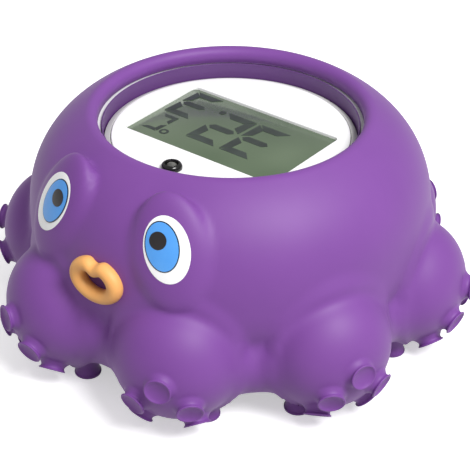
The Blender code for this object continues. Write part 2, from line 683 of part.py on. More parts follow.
def module_housing(mat, parts, tools):
    """The white cup that the rubber grips, with its battery bay and door bosses."""
    profile = [
        (0.0, BAY_TOP_Z),
        (BAY_OUTER_RADIUS, BAY_TOP_Z),
        (BAY_OUTER_RADIUS, FLOOR_TOP_Z),
        (FOOT_INNER_RADIUS, FLOOR_TOP_Z),
        (FOOT_INNER_RADIUS, SHOULDER_Z),
        (FLANGE_INNER_RADIUS, SHOULDER_Z),
        (FLANGE_INNER_RADIUS, FLANGE_TOP_Z),
        (FLANGE_OUTER_RADIUS, FLANGE_TOP_Z),
        (FLANGE_OUTER_RADIUS, FLANGE_BOTTOM_Z),
        (FOOT_OUTER_RADIUS, FLANGE_BOTTOM_Z),
        (FOOT_OUTER_RADIUS, FOOT_BOTTOM_Z),
        (BAY_INNER_RADIUS, FOOT_BOTTOM_Z),
        (BAY_INNER_RADIUS, BAY_CEILING_Z),
        (0.0, BAY_CEILING_Z),
    ]
    housing = turned("module_housing", profile, mat, parts)
    screw_top = DOOR_BOTTOM_Z + DOOR_SCREW_LENGTH
    for x in (-DOOR_SCREW_X, DOOR_SCREW_X):
        boss = cylinder("door_boss_form", DOOR_BOSS_RADIUS, FLOOR_TOP_Z - MM, screw_top + 2 * MM, (x, 0),
                        mat, tools)
        boolean(housing, boss, "UNION")
        hole = cylinder("door_hole_form", DOOR_SCREW_RADIUS + SNUG, FOOT_BOTTOM_Z - MM, screw_top + GAP, (x, 0),
                        mat, tools)
        boolean(housing, hole, "DIFFERENCE")
    holes = [("sensor_hole_form", SENSOR_RADIUS + GAP, (0, SENSOR_Y))]
    for x in (-CONTACT_PIN_X, CONTACT_PIN_X):
        holes.append(("pin_hole_form", CONTACT_PIN_RADIUS + SNUG, (x, CONTACT_PIN_Y)))
    for name, radius, at in holes:
        hole = cylinder(name, radius, FOOT_BOTTOM_Z - MM, FLOOR_TOP_Z + MM, at, mat, tools)
        boolean(housing, hole, "DIFFERENCE")
    for name, size, at in contact_slots():
        slot = box(name, size, at, mat, tools)
        boolean(housing, slot, "DIFFERENCE")
    return housing


def contact_slots():
    """Slots in the bay's roof for the tabs of the two battery contacts."""
    height = BAY_ROOF + 2 * MM
    middle = (BAY_CEILING_Z + BAY_TOP_Z) / 2
    size = (CONTACT_THICKNESS + 2 * SNUG, CONTACT_WIDTH + 2 * SNUG, height)
    return [
        ("positive_slot_form", size, (positive_tab_x(), 0, middle)),
        ("negative_slot_form", size, (0, 0, middle)),
    ]


def positive_tab_x():
    """The side contact stands midway between the cell and the bay's wall."""
    return CELL_RADIUS + BAY_CLEARANCE / 2


def face_plate(mat, parts, tools):
    """The white plate with its display window, underside pocket, lamp hole and screw bosses."""
    plate = turned("face_plate", disc_profile(PLATE_RADIUS, PLATE_BOTTOM_Z, PLATE_TOP_Z), mat, parts)
    pocket_top = PLATE_TOP_Z - WINDOW_FRAME_THICKNESS
    for x in (-BOSS_X, BOSS_X):
        for y in (-BOSS_Y, BOSS_Y):
            boss = cylinder("plate_boss_form", BOSS_RADIUS, BOARD_TOP_Z + SNUG, PLATE_BOTTOM_Z + MM, (x, y),
                            mat, tools)
            boolean(plate, boss, "UNION")
            pilot = cylinder("pilot_form", BOARD_SCREW_RADIUS + SNUG, BOARD_TOP_Z - MM,
                             BOARD_TOP_Z + BOARD_SCREW_BITE + 2 * GAP, (x, y), mat, tools, 10)
            boolean(plate, pilot, "DIFFERENCE")
    window = rounded_block("window_form", WINDOW_LENGTH, WINDOW_WIDTH, WINDOW_CORNER, PLATE_BOTTOM_Z - MM,
                           PLATE_TOP_Z + MM, mat, tools)
    boolean(plate, window, "DIFFERENCE")
    pocket = rounded_block("pocket_form", GLASS_LENGTH + 2 * SNUG, GLASS_WIDTH + 2 * SNUG, WINDOW_CORNER,
                           PLATE_BOTTOM_Z - MM, pocket_top, mat, tools)
    boolean(plate, pocket, "DIFFERENCE")
    lamp_hole = cylinder("lamp_hole_form", LAMP_SHANK_RADIUS + SNUG, PLATE_BOTTOM_Z - MM, PLATE_TOP_Z + MM,
                         (0, LAMP_Y), mat, tools)
    boolean(plate, lamp_hole, "DIFFERENCE")
    return plate


def rings(parts):
    """The bezel, its seal and the thin purple trim round them."""
    white = material("bezel_abs", (0.8, 0.8, 0.8), 0.35)
    top = PLATE_TOP_Z - SNUG
    bezel = [
        (BEZEL_INNER_RADIUS, top),
        (BEZEL_OUTER_RADIUS, top - BEZEL_SLOPE),
        (BEZEL_OUTER_RADIUS, LEDGE_BOTTOM_Z),
        (BEZEL_INNER_RADIUS - LEDGE_WIDTH, LEDGE_BOTTOM_Z),
        (BEZEL_INNER_RADIUS - LEDGE_WIDTH, LEDGE_TOP_Z),
        (BEZEL_INNER_RADIUS, LEDGE_TOP_Z),
    ]
    turned("bezel_ring", bezel, white, parts, closed=True)
    seal_outer = BEZEL_INNER_RADIUS - SNUG
    seal = ring_profile(seal_outer - SEAL_WIDTH, seal_outer, LEDGE_TOP_Z + SNUG, PLATE_BOTTOM_Z - SNUG)
    turned("plate_seal", seal, material("seal_silicone", (0.5, 0.5, 0.52), 0.6), parts, closed=True)
    trim = ring_profile(TRIM_INNER_RADIUS, TRIM_OUTER_RADIUS, SHOULDER_Z + GAP, PLATE_TOP_Z + TRIM_RISE)
    turned("trim_ring", trim, material("trim_abs", (0.13, 0.06, 0.18), 0.4), parts, closed=True)


# Display

DIGIT_WIDTH = 7.4 * MM
DIGIT_STROKE = 1.7 * MM
DIGIT_HALF_HEIGHT = 7.2 * MM
SMALL_WIDTH = 5.9 * MM
SMALL_STROKE = 1.5 * MM
SMALL_HALF_HEIGHT = 5.8 * MM
UNIT_WIDTH = 3.6 * MM
UNIT_STROKE = 1.0 * MM
UNIT_HALF_HEIGHT = 3.8 * MM
DIGIT_SLANT = 0.08
TENS_SPOT = (-6.3 * MM, -0.7 * MM)
ONES_SPOT = (3.3 * MM, -0.7 * MM)
TENTHS_SPOT = (15.9 * MM, -6.0 * MM)
UNIT_SPOT = (16.6 * MM, 5.2 * MM)
POINT_SPOT = (8.2 * MM, -7.2 * MM)
DEGREE_SPOT = (13.0 * MM, 8.3 * MM)
SEGMENTS_OF = {"2": "abged", "3": "abgcd", "C": "afed"}


def add_digit(bm, sign, centre, width, stroke, half_height):
    """Seven-segment strokes as thin bars. Text runs towards -X and its top is towards -Y."""
    reach = half_height - stroke / 2
    half = width / 2
    across = width - 2 * stroke
    tall = reach - stroke * 1.1
    column = half - stroke / 2
    bars = {
        "a": (0, reach, across, stroke),
        "g": (0, 0, across - stroke, stroke),
        "d": (0, -reach, across, stroke),
        "b": (column, reach / 2, stroke, tall),
        "c": (column, -reach / 2, stroke, tall),
        "f": (-column, reach / 2, stroke, tall),
        "e": (-column, -reach / 2, stroke, tall),
    }
    for letter in SEGMENTS_OF[sign]:
        right, up, length, height = bars[letter]
        add_bar(bm, centre, right + up * DIGIT_SLANT, up, length, height)


def add_bar(bm, centre, right, up, length, tall):
    """One stroke standing a little proud of the glass."""
    depth = SEGMENT_HEIGHT * 2
    made = bmesh.ops.create_cube(bm, size=1.0)
    spot = Vector((-(centre[0] + right), -(centre[1] + up), GLASS_TOP_Z))
    bmesh.ops.transform(bm, matrix=Matrix.Translation(spot) @ Matrix.Diagonal((length, tall, depth, 1.0)),
                        verts=made["verts"])


def display(parts, tools):
    """The glass with its strokes, the frame under it and the two contact strips."""
    glass = material("lcd_glass", (0.17, 0.23, 0.16), 0.15)
    cell = rounded_block("lcd_cell", GLASS_LENGTH, GLASS_WIDTH, WINDOW_CORNER, GLASS_BOTTOM_Z, GLASS_TOP_Z,
                         glass, parts)
    bm = bmesh.new()
    add_digit(bm, "3", TENS_SPOT, DIGIT_WIDTH, DIGIT_STROKE, DIGIT_HALF_HEIGHT)
    add_digit(bm, "2", ONES_SPOT, DIGIT_WIDTH, DIGIT_STROKE, DIGIT_HALF_HEIGHT)
    add_digit(bm, "3", TENTHS_SPOT, SMALL_WIDTH, SMALL_STROKE, SMALL_HALF_HEIGHT)
    add_digit(bm, "C", UNIT_SPOT, UNIT_WIDTH, UNIT_STROKE, UNIT_HALF_HEIGHT)
    add_bar(bm, POINT_SPOT, 0, 0, DIGIT_STROKE, DIGIT_STROKE)
    add_bar(bm, DEGREE_SPOT, 0, 0, SMALL_STROKE, SMALL_STROKE)
    strokes = from_bmesh(bm, "stroke_forms", glass, tools)
    boolean(cell, strokes, "UNION")

    plastic = material("lcd_frame_plastic", (0.6, 0.6, 0.58), 0.5)
    frame = rounded_block("lcd_frame", GLASS_LENGTH, GLASS_WIDTH, WINDOW_CORNER, LCD_FRAME_BOTTOM_Z,
                          LCD_FRAME_TOP_Z, plastic, parts)
    middle = (LCD_FRAME_BOTTOM_Z + LCD_FRAME_TOP_Z) / 2
    inner_length = GLASS_LENGTH - 2 * LCD_FRAME_WALL
    inner_width = GLASS_WIDTH - 2 * LCD_FRAME_WALL
    hollow = box("frame_hollow_form", (inner_length, inner_width, LCD_FRAME_HEIGHT + 2 * MM), (0, 0, middle),
                 plastic, tools)
    boolean(frame, hollow, "DIFFERENCE")
    rubber = material("zebra_rubber", (0.75, 0.55, 0.5), 0.7)
    offset = inner_width / 2 - SNUG - ZEBRA_WIDTH / 2
    strip = (inner_length - 2 * GAP, ZEBRA_WIDTH, LCD_FRAME_HEIGHT)
    for word, y in (("front", -offset), ("back", offset)):
        box("zebra_strip_" + word, strip, (0, y, middle), rubber, parts)


def lamp(parts):
    """The alarm lamp: a black bezel through the plate, and the diode's dome inside it."""
    bore = LAMP_LENS_RADIUS + SNUG
    top = PLATE_TOP_Z + LAMP_RISE
    bezel = [
        (bore, top - 0.15 * MM),
        (bore + 0.25 * MM, top),
        (LAMP_RADIUS - 0.6 * MM, top - 0.15 * MM),
        (LAMP_RADIUS, PLATE_TOP_Z + 0.5 * MM),
        (LAMP_RADIUS, PLATE_TOP_Z + SNUG),
        (LAMP_SHANK_RADIUS, PLATE_TOP_Z + SNUG),
        (LAMP_SHANK_RADIUS, PLATE_BOTTOM_Z),
        (bore, PLATE_BOTTOM_Z),
    ]
    black = material("lamp_bezel_abs", (0.02, 0.02, 0.02), 0.3)
    turned("lamp_bezel", bezel, black, parts, 24, (0, LAMP_Y), True)
    lens = [
        (0.0, top),
        (LAMP_LENS_RADIUS * 0.6, top - 0.15 * MM),
        (LAMP_LENS_RADIUS, top - 0.6 * MM),
        (LAMP_LENS_RADIUS, BOARD_TOP_Z + GAP),
        (0.0, BOARD_TOP_Z + GAP),
    ]
    smoked = material("lamp_lens_epoxy", (0.09, 0.09, 0.09), 0.15)
    turned("lamp_lens", lens, smoked, parts, SMALL_SEGMENTS, (0, LAMP_Y))


# Circuit board and what it carries

def board(parts, tools):
    """The round board, its screws and its components."""
    green = material("board_laminate", (0.02, 0.22, 0.08), 0.4)
    disc = turned("circuit_board", disc_profile(BOARD_RADIUS, BOARD_BOTTOM_Z, BOARD_TOP_Z), green, parts)
    steel = material("screw_steel", (0.55, 0.55, 0.57), 0.3, 1.0)
    number = 0
    for x in (-BOSS_X, BOSS_X):
        for y in (-BOSS_Y, BOSS_Y):
            hole = cylinder("board_hole_form", BOARD_SCREW_RADIUS + GAP, BOARD_BOTTOM_Z - MM, BOARD_TOP_Z + MM,
                            (x, y), green, tools, 10)
            boolean(disc, hole, "DIFFERENCE")
            number += 1
            head_top = BOARD_BOTTOM_Z - SNUG
            screw(f"board_screw_{number}", (x, y), BOARD_SCREW_RADIUS, BOARD_TOP_Z + BOARD_SCREW_BITE, head_top,
                  BOARD_SCREW_HEAD_RADIUS, BOARD_SCREW_HEAD_HEIGHT, steel, parts)
    under = BOARD_BOTTOM_Z - SNUG
    blob = [
        (0.0, under),
        (CHIP_RADIUS, under),
        (CHIP_RADIUS * 0.8, under - CHIP_HEIGHT * 0.7),
        (CHIP_RADIUS * 0.4, under - CHIP_HEIGHT * 0.95),
        (0.0, under - CHIP_HEIGHT),
    ]
    turned("chip_blob", blob, material("chip_epoxy", (0.015, 0.015, 0.015), 0.5), parts, SMALL_SEGMENTS)
    silver = material("crystal_can", (0.6, 0.6, 0.6), 0.25, 1.0)
    bpy.ops.mesh.primitive_cylinder_add(vertices=12, radius=CRYSTAL_RADIUS, depth=CRYSTAL_LENGTH)
    crystal = place(bpy.context.object, "crystal", silver, parts)
    crystal.rotation_euler = (0, math.pi / 2, 0)
    crystal.location = (-2 * CHIP_RADIUS, CHIP_RADIUS, under - CRYSTAL_RADIUS)
    capacitor_can = material("capacitor_can", (0.05, 0.07, 0.2), 0.35)
    cylinder("capacitor", CAPACITOR_RADIUS, under - CAPACITOR_HEIGHT, under,
             (2 * CHIP_RADIUS, 1.5 * CHIP_RADIUS), capacitor_can, parts)
    black = material("buzzer_plastic", (0.02, 0.02, 0.02), 0.4)
    low = under - BUZZER_HEIGHT
    buzzer = [
        (0.0, under),
        (BUZZER_RADIUS, under),
        (BUZZER_RADIUS, low),
        (BUZZER_HOLE_RADIUS, low),
        (BUZZER_HOLE_RADIUS, low + MM),
        (0.0, low + MM),
    ]
    turned("buzzer", buzzer, black, parts, 24, (-2.2 * CHIP_RADIUS, -2.4 * CHIP_RADIUS))


def screw(name, at, radius, tip_z, head_top, head_radius, head_height, mat, parts):
    """A pan-head screw that points up."""
    profile = [
        (0.0, tip_z),
        (radius * 0.5, tip_z),
        (radius, tip_z - radius),
        (radius, head_top),
        (head_radius, head_top),
        (head_radius, head_top - head_height * 0.6),
        (head_radius * 0.7, head_top - head_height),
        (0.0, head_top - head_height),
    ]
    turned(name, profile, mat, parts, 12, at)


# Battery bay, sensor and leads

def battery(parts, tools):
    """The cell, its contacts, and the door with its gasket and screws."""
    steel = material("cell_steel", (0.6, 0.6, 0.6), 0.25, 1.0)
    cell_top = CELL_BOTTOM_Z + CELL_THICKNESS
    cell = [
        (0.0, cell_top),
        (CELL_RADIUS - 1.2 * MM, cell_top),
        (CELL_RADIUS - 1.0 * MM, cell_top - 0.4 * MM),
        (CELL_RADIUS, cell_top - 0.6 * MM),
        (CELL_RADIUS, CELL_BOTTOM_Z),
        (0.0, CELL_BOTTOM_Z),
    ]
    turned("button_cell", cell, steel, parts, 32)
    nickel = material("contact_nickel", (0.65, 0.6, 0.5), 0.3, 1.0)
    tab_top = BAY_TOP_Z + CONTACT_TAB_RISE
    side_bottom = CELL_BOTTOM_Z
    box("contact_positive", (CONTACT_THICKNESS, CONTACT_WIDTH, tab_top - side_bottom),
        (positive_tab_x(), 0, (tab_top + side_bottom) / 2), nickel, parts)
    leaf_z = cell_top + GAP
    box("contact_negative", (CONTACT_THICKNESS, CONTACT_WIDTH, tab_top - leaf_z),
        (0, 0, (tab_top + leaf_z) / 2), nickel, parts)

    door_white = material("door_abs", (0.78, 0.78, 0.78), 0.4)
    plug_outer = BAY_INNER_RADIUS - GAP
    groove_inner = plug_outer + MM
    groove_outer = groove_inner + DOOR_GASKET_WIDTH + 2 * SNUG
    groove_z = DOOR_TOP_Z - DOOR_GROOVE_DEPTH
    door = [
        (0.0, DOOR_TOP_Z),
        (plug_outer - DOOR_PLUG_WALL, DOOR_TOP_Z),
        (plug_outer - DOOR_PLUG_WALL, PLUG_TOP_Z),
        (plug_outer, PLUG_TOP_Z),
        (plug_outer, DOOR_TOP_Z),
        (groove_inner, DOOR_TOP_Z),
        (groove_inner, groove_z),
        (groove_outer, groove_z),
        (groove_outer, DOOR_TOP_Z),
        (DOOR_RADIUS, DOOR_TOP_Z),
        (DOOR_RADIUS, DOOR_BOTTOM_Z),
        (0.0, DOOR_BOTTOM_Z),
    ]
    lid = turned("battery_door", door, door_white, parts)
    gasket = ring_profile(groove_inner + SNUG, groove_outer - SNUG, groove_z + SNUG, FOOT_BOTTOM_Z - SNUG)
    turned("door_gasket", gasket, material("gasket_silicone", (0.45, 0.45, 0.47), 0.6), parts, closed=True)
    screw_steel = material("door_screw_steel", (0.55, 0.55, 0.57), 0.3, 1.0)
    for word, x in (("left", -DOOR_SCREW_X), ("right", DOOR_SCREW_X)):
        hole = cylinder("door_screw_hole_form", DOOR_SCREW_RADIUS + SNUG, DOOR_BOTTOM_Z - MM, DOOR_TOP_Z + MM,
                        (x, 0), door_white, tools)
        boolean(lid, hole, "DIFFERENCE")
        screw("door_screw_" + word, (x, 0), DOOR_SCREW_RADIUS, DOOR_BOTTOM_Z + DOOR_SCREW_LENGTH,
              DOOR_BOTTOM_Z - SNUG, DOOR_SCREW_HEAD_RADIUS, DOOR_SCREW_HEAD_HEIGHT, screw_steel, parts)


def sensor(parts):
    """The steel cap in the water, the bead inside it and the two water contacts."""
    steel = material("sensor_steel", (0.62, 0.62, 0.64), 0.25, 1.0)
    tip = FOOT_BOTTOM_Z - SENSOR_DROP
    flange_bottom = FLOOR_TOP_Z + SNUG
    flange_top = flange_bottom + 0.7 * MM
    bore = SENSOR_RADIUS - SENSOR_WALL
    cap = [
        (0.0, tip + SENSOR_WALL),
        (bore, tip + SENSOR_WALL),
        (bore, flange_top),
        (SENSOR_FLANGE_RADIUS, flange_top),
        (SENSOR_FLANGE_RADIUS, flange_bottom),
        (SENSOR_RADIUS, flange_bottom),
        (SENSOR_RADIUS, tip + 0.6 * MM),
        (SENSOR_RADIUS - 0.6 * MM, tip),
        (0.0, tip),
    ]
    turned("sensor_cap", cap, steel, parts, 24, (0, SENSOR_Y))
    bead_z = tip + SENSOR_WALL + SNUG + BEAD_RADIUS
    bpy.ops.mesh.primitive_uv_sphere_add(segments=12, ring_count=8, radius=BEAD_RADIUS)
    bead = place(bpy.context.object, "thermistor", material("bead_epoxy", (0.02, 0.02, 0.02), 0.3), parts)
    bead.location = (0, SENSOR_Y, bead_z)
    pin_steel = material("pin_steel", (0.62, 0.6, 0.55), 0.3, 1.0)
    for word, x in (("left", -CONTACT_PIN_X), ("right", CONTACT_PIN_X)):
        head_top = FOOT_BOTTOM_Z - SNUG
        screw("water_contact_" + word, (x, CONTACT_PIN_Y), CONTACT_PIN_RADIUS, head_top + CONTACT_PIN_LENGTH,
              head_top, CONTACT_PIN_HEAD_RADIUS, CONTACT_PIN_HEAD_HEIGHT, pin_steel, parts)
    return bead_z + BEAD_RADIUS * 0.9


def lead(name, route, mat, parts):
    """A thin insulated wire along a smooth curve through its route's points."""
    curve = bpy.data.curves.new(name, "CURVE")
    curve.dimensions = "3D"
    curve.bevel_depth = LEAD_RADIUS
    curve.bevel_resolution = 1
    curve.use_fill_caps = True
    points = smooth_route([Vector(p) for p in route], 4)
    spline = curve.splines.new("POLY")
    spline.points.add(len(points) - 1)
    for point, spot in zip(spline.points, points):
        point.co = (*spot, 1.0)
    wire = bpy.data.objects.new(name, curve)
    place(wire, name, mat, parts)
    return wire


def smooth_route(route, steps):
    """Points of a Catmull-Rom curve through the given ones."""
    padded = [route[0] * 2 - route[1], *route, route[-1] * 2 - route[-2]]
    points = []
    for a, b, c, d in zip(padded, padded[1:], padded[2:], padded[3:]):
        for i in range(steps):
            t = i / steps
            points.append(0.5 * (2 * b + (c - a) * t + (2 * a - 5 * b + 4 * c - d) * t ** 2
                                 + (3 * b - a - 3 * c + d) * t ** 3))
    points.append(route[-1])
    return points


def leads(bead_top, parts):
    """Two sensor leads and two battery leads, each with a little slack."""
    board_end = BOARD_BOTTOM_Z - GAP
    low = BAY_TOP_Z + (board_end - BAY_TOP_Z) * 0.2
    high = BAY_TOP_Z + (board_end - BAY_TOP_Z) * 0.6
    for word, sign in (("left", -1), ("right", 1)):
        route = [
            (sign * (LEAD_RADIUS + 0.12 * MM), SENSOR_Y, bead_top + GAP + 0.3 * MM),
            (sign * (LEAD_RADIUS + 0.4 * MM), SENSOR_Y, FLOOR_TOP_Z + LEAD_SPREAD),
            (sign * LEAD_SPREAD, SENSOR_Y - LEAD_BOW / 2, low),
            (sign * LEAD_SPREAD * 1.3, SENSOR_Y - LEAD_BOW, high),
            (sign * LEAD_SPREAD, SENSOR_Y - LEAD_BOW, board_end),
        ]
        lead("sensor_lead_" + word, route, material("sensor_lead_pvc", (0.7, 0.7, 0.68), 0.5), parts)
    tab = BAY_TOP_Z + CONTACT_TAB_RISE + GAP + LEAD_RADIUS
    red = material("red_lead_pvc", (0.6, 0.03, 0.02), 0.45)
    black = material("black_lead_pvc", (0.02, 0.02, 0.02), 0.45)
    red_route = [
        (positive_tab_x(), 0.0, tab),
        (positive_tab_x() + LEAD_SPREAD / 2, -LEAD_SPREAD / 3, low),
        (positive_tab_x() + LEAD_BOW, -LEAD_BOW * 0.7, high),
        (positive_tab_x() + LEAD_BOW, -LEAD_BOW, board_end),
    ]
    black_route = [
        (0.0, 0.0, tab),
        (LEAD_SPREAD, -LEAD_SPREAD * 0.7, low),
        (LEAD_BOW * 1.7, -LEAD_BOW * 1.2, high),
        (LEAD_BOW * 2, -LEAD_BOW * 1.3, board_end),
    ]
    lead("battery_lead_red", red_route, red, parts)
    lead("battery_lead_black", black_route, black, parts)


def main():
    for obj in list(bpy.data.objects):
        bpy.data.objects.remove(obj, do_unlink=True)
    parts = new_collection("octopus_thermometer")
    tools = new_collection("octopus_thermometer_tools")
    octopus_shell(material("octopus_rubber", (0.29, 0.12, 0.44), 0.55), parts, tools)
    face(parts)
    module_housing(material("housing_abs", (0.8, 0.8, 0.8), 0.4), parts, tools)
    face_plate(material("plate_abs", (0.85, 0.85, 0.86), 0.2), parts, tools)
    rings(parts)
    display(parts, tools)
    lamp(parts)
    board(parts, tools)
    battery(parts, tools)
    bead_top = sensor(parts)
    leads(bead_top, parts)


main()
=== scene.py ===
"""Looks for the floating bath thermometer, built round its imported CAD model.

Frame: metres, +Z up, the octopus stands on z = 0 and faces -Y. The rubber body is grown
from the same form as the CAD model, only finer, and the module's pieces take their places
from the CAD nodes that they stand for.
"""
import math

import bmesh
import bpy
import numpy as np
from mathutils import Matrix, Vector


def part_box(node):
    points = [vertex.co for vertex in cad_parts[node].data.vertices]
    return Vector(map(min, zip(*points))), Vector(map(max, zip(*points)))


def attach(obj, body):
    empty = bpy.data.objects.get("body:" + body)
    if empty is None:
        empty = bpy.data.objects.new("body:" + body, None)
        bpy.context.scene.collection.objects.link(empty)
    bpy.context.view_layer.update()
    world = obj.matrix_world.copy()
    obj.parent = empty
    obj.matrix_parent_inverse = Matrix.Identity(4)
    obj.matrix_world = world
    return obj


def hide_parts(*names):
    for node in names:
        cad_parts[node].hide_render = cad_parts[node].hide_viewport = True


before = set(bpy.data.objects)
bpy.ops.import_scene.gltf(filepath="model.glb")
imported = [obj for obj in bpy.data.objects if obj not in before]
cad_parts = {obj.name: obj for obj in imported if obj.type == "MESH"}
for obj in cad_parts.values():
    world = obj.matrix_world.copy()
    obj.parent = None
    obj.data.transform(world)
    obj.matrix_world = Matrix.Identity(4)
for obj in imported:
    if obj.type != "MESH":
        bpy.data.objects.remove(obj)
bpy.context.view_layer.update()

MM = 0.001

# Camera, fitted to the photograph
CAMERA_PLACE = Vector((209.9, -270.3, 235.4)) * MM
CAMERA_AZIMUTH = math.radians(37.65)
CAMERA_PITCH = math.radians(32.0)
CAMERA_ROLL = math.radians(-0.323)
FOCAL_PIXELS = 1700.0
PHOTO_PIXELS = 470
SENSOR_WIDTH = 36.0

# Places read from the CAD model
PLATE_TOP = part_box("face_plate")[1].z
PLATE_BOTTOM = PLATE_TOP - 1.8 * MM
PLATE_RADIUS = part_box("face_plate")[1].x
BEZEL_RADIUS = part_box("bezel_ring")[1].x
BEZEL_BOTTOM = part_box("bezel_ring")[0].z
TRIM_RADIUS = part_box("trim_ring")[1].x
TRIM_LOW, TRIM_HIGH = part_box("trim_ring")
FLANGE_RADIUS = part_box("module_housing")[1].x
FLANGE_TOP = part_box("module_housing")[1].z
FOOT_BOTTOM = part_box("module_housing")[0].z
FOOT_RADIUS = 27.67 * MM
GLASS_LOW, GLASS_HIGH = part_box("lcd_cell")
LAMP_LOW, LAMP_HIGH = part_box("lamp_bezel")
LAMP_CENTRE = (LAMP_LOW + LAMP_HIGH) / 2
CREST_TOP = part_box("octopus_shell")[1].z

# Octopus form, as in the CAD model
HEAD_RADIUS = 46.75 * MM
HEAD_EQUATOR_Z = PLATE_TOP - 19.0 * MM
HEAD_RISE = 31.3 * MM
HEAD_DROP = 27.2 * MM
HEAD_EXPONENT = 2.45
HEAD_TUCK_EXPONENT = 2.2
WALL = 2.4 * MM
TENTACLES = 8
PITCH = 2 * math.pi / TENTACLES
BULB_RING_RADIUS = 43.6 * MM
BULB_Z = 17.0 * MM
BULB_AXES = (12.8 * MM, 14.4 * MM, 14.5 * MM)
WEB_RING_RADIUS = 40.5 * MM
WEB_Z = 14.2 * MM
WEB_AXES = (6.0 * MM, 1.0, 7.5 * MM)
COLLAR_RING_RADIUS = 46.0 * MM
COLLAR_Z = 12.3 * MM
COLLAR_ARCH_RADIUS = 8.3 * MM
COLLAR_THICKNESS = 4.4 * MM
COLLAR_FADE = 2.2
RIDGE_RING_RADIUS = 44.8 * MM
RIDGE_Z = 17.2 * MM
RIDGE_ARCH_RADIUS = 15.4 * MM
RIDGE_THICKNESS = 2.3 * MM
RIDGE_FADE = 9.0
BLEND_WEB = 4.5 * MM
BLEND_COLLAR = 7.1 * MM
BLEND_RIDGE = 3.0 * MM
BLEND_CREASE = 2.0 * MM
BLEND_NEIGHBOUR = 6.0 * MM
BLEND_EYE = 1.5 * MM
EYE_AZIMUTH = math.radians(21)
EYE_TILT = math.radians(22)
MOUND_Z = PLATE_TOP - 5.6 * MM
MOUND_AXES = (8.6 * MM, 12.8 * MM, 3.2 * MM)
MOUND_SINK = 1.4 * MM
MOUND_LEAN = math.radians(12)
MOUTH_Z = PLATE_TOP - 16.1 * MM
MOUTH_AXES = (4.8 * MM, 2.6 * MM, 3.4 * MM)
BLEND_MOUTH = 1.2 * MM

# Rim and foot of the rubber
LIP_RADIUS = FLANGE_RADIUS - 1.1 * MM
LIP_BOTTOM = FLANGE_TOP + 0.3 * MM
CREST_RADIUS = 32.0 * MM
RIM_RADIUS = 33.2 * MM
FOOT_SEAT_RADIUS = FOOT_RADIUS + 0.3 * MM
RAY_RING_RADIUS = 24.0 * MM
RAY_RING_Z = 21.3 * MM
RAY_FAR = 60.0 * MM
SKIN_BOTTOM_DEG = -62.0

# Suction cups
CUP_RING_RADIUS = 41.1 * MM
CUP_RING_Z = 17.2 * MM
CUP_ROW_OFFSET = 5.9 * MM
CUP_SLOPE_DEG = ((0, 0), (1, 23), (-1, 23), (1, 54), (-1, 54), (1, 90), (-1, 90))
CUP_HEIGHT = 1.7 * MM
CUP_RIM_RADIUS = 3.1 * MM
CUP_NECK_RADIUS = 2.7 * MM
CUP_ROOT_RADIUS = 4.2 * MM
CUP_DISH = 0.5 * MM

# Eyes and lips
WHITE_AXES = (5.2 * MM, 7.3 * MM)
WHITE_SHIFT = (0.0, 0.7 * MM)
IRIS_AXES = (3.65 * MM, 5.25 * MM)
IRIS_SHIFT = (-0.8 * MM, 1.5 * MM)
OUTLINE_WIDTH = 0.24 * MM
PUPIL_RADIUS = 1.95 * MM
PUPIL_SHIFT = (-1.4 * MM, 2.9 * MM)
PRINT_LEAN = math.radians(16)
PRINT_LIFT = 0.03 * MM
PRINT_THICKNESS = 0.06 * MM
LIPS_RADIUS = HEAD_RADIUS + 0.25 * MM
LIPS_AXES = (5.3 * MM, 3.85 * MM)
LIPS_SECTION = (1.85 * MM, 1.6 * MM)
LIPS_DEPTH = 1.9 * MM
LIPS_BOW_DEPTH = 1.3 * MM
LIPS_BOW_WIDTH = 1.5 * MM

# Display
WINDOW_LENGTH = 42.1 * MM
WINDOW_WIDTH = 26.0 * MM
WINDOW_CORNER = 1.2 * MM
GLASS_THICKNESS = 2.0 * MM
STROKE_HEIGHT = 0.05 * MM
# Each sign's place, width, height and stroke in millimetres, from the window's centre as it is read
SIGNS = (
    ("3", (-6.35, -0.75), 8.7, 14.9, 2.2),
    ("2", (3.3, -0.75), 8.7, 14.9, 2.2),
    ("3", (15.7, -6.0), 7.7, 12.1, 1.9),
    ("C", (16.7, 5.2), 4.4, 7.9, 1.1),
)
POINT_PLACE = (-8.08 * MM, 7.3 * MM)
POINT_RADIUS = 0.85 * MM
DEGREE_PLACE = (-13.08 * MM, -8.23 * MM)
DEGREE_RADII = (0.6 * MM, 1.15 * MM)

# Alarm lamp
LAMP_BORE = 1.4 * MM
LAMP_STEM_RADIUS = 1.9 * MM
LENS_RADIUS = 1.25 * MM
LENS_RISE = 0.9 * MM

# Studio
KEY_PLACE = (0.62, -0.14, 0.8)
KEY_AIM = (0, 0, 0.03)
KEY_SIZE = 0.4
KEY_POWER = 10.6
WORLD_FILL = 0.5
FLOOR_SEEN = "#F2F2F2"
FLOOR_THROWN = "#8C8C8C"
FLOOR_GLOW = 0.48

# Facets
SKIN_AZIMUTHS = 256
SKIN_POINTS = 150
TURN_STEPS = 192


def linear(hex_colour):
    """Shader values of a colour written as it should look on the screen."""
    parts = [int(hex_colour[i:i + 2], 16) / 255 for i in (1, 3, 5)]
    return tuple(c / 12.92 if c <= 0.04045 else ((c + 0.055) / 1.055) ** 2.4 for c in parts) + (1.0,)


# Materials

def add(tree, kind, settings=None, **links):
    """A shader node with its values, its named input sockets fed from other sockets."""
    node = tree.nodes.new(kind)
    for key, value in (settings or {}).items():
        if hasattr(node, key):
            setattr(node, key, value)
        else:
            node.inputs[key].default_value = value
    for key, socket in links.items():
        tree.links.new(socket, node.inputs[key.replace("_", " ")])
    return node


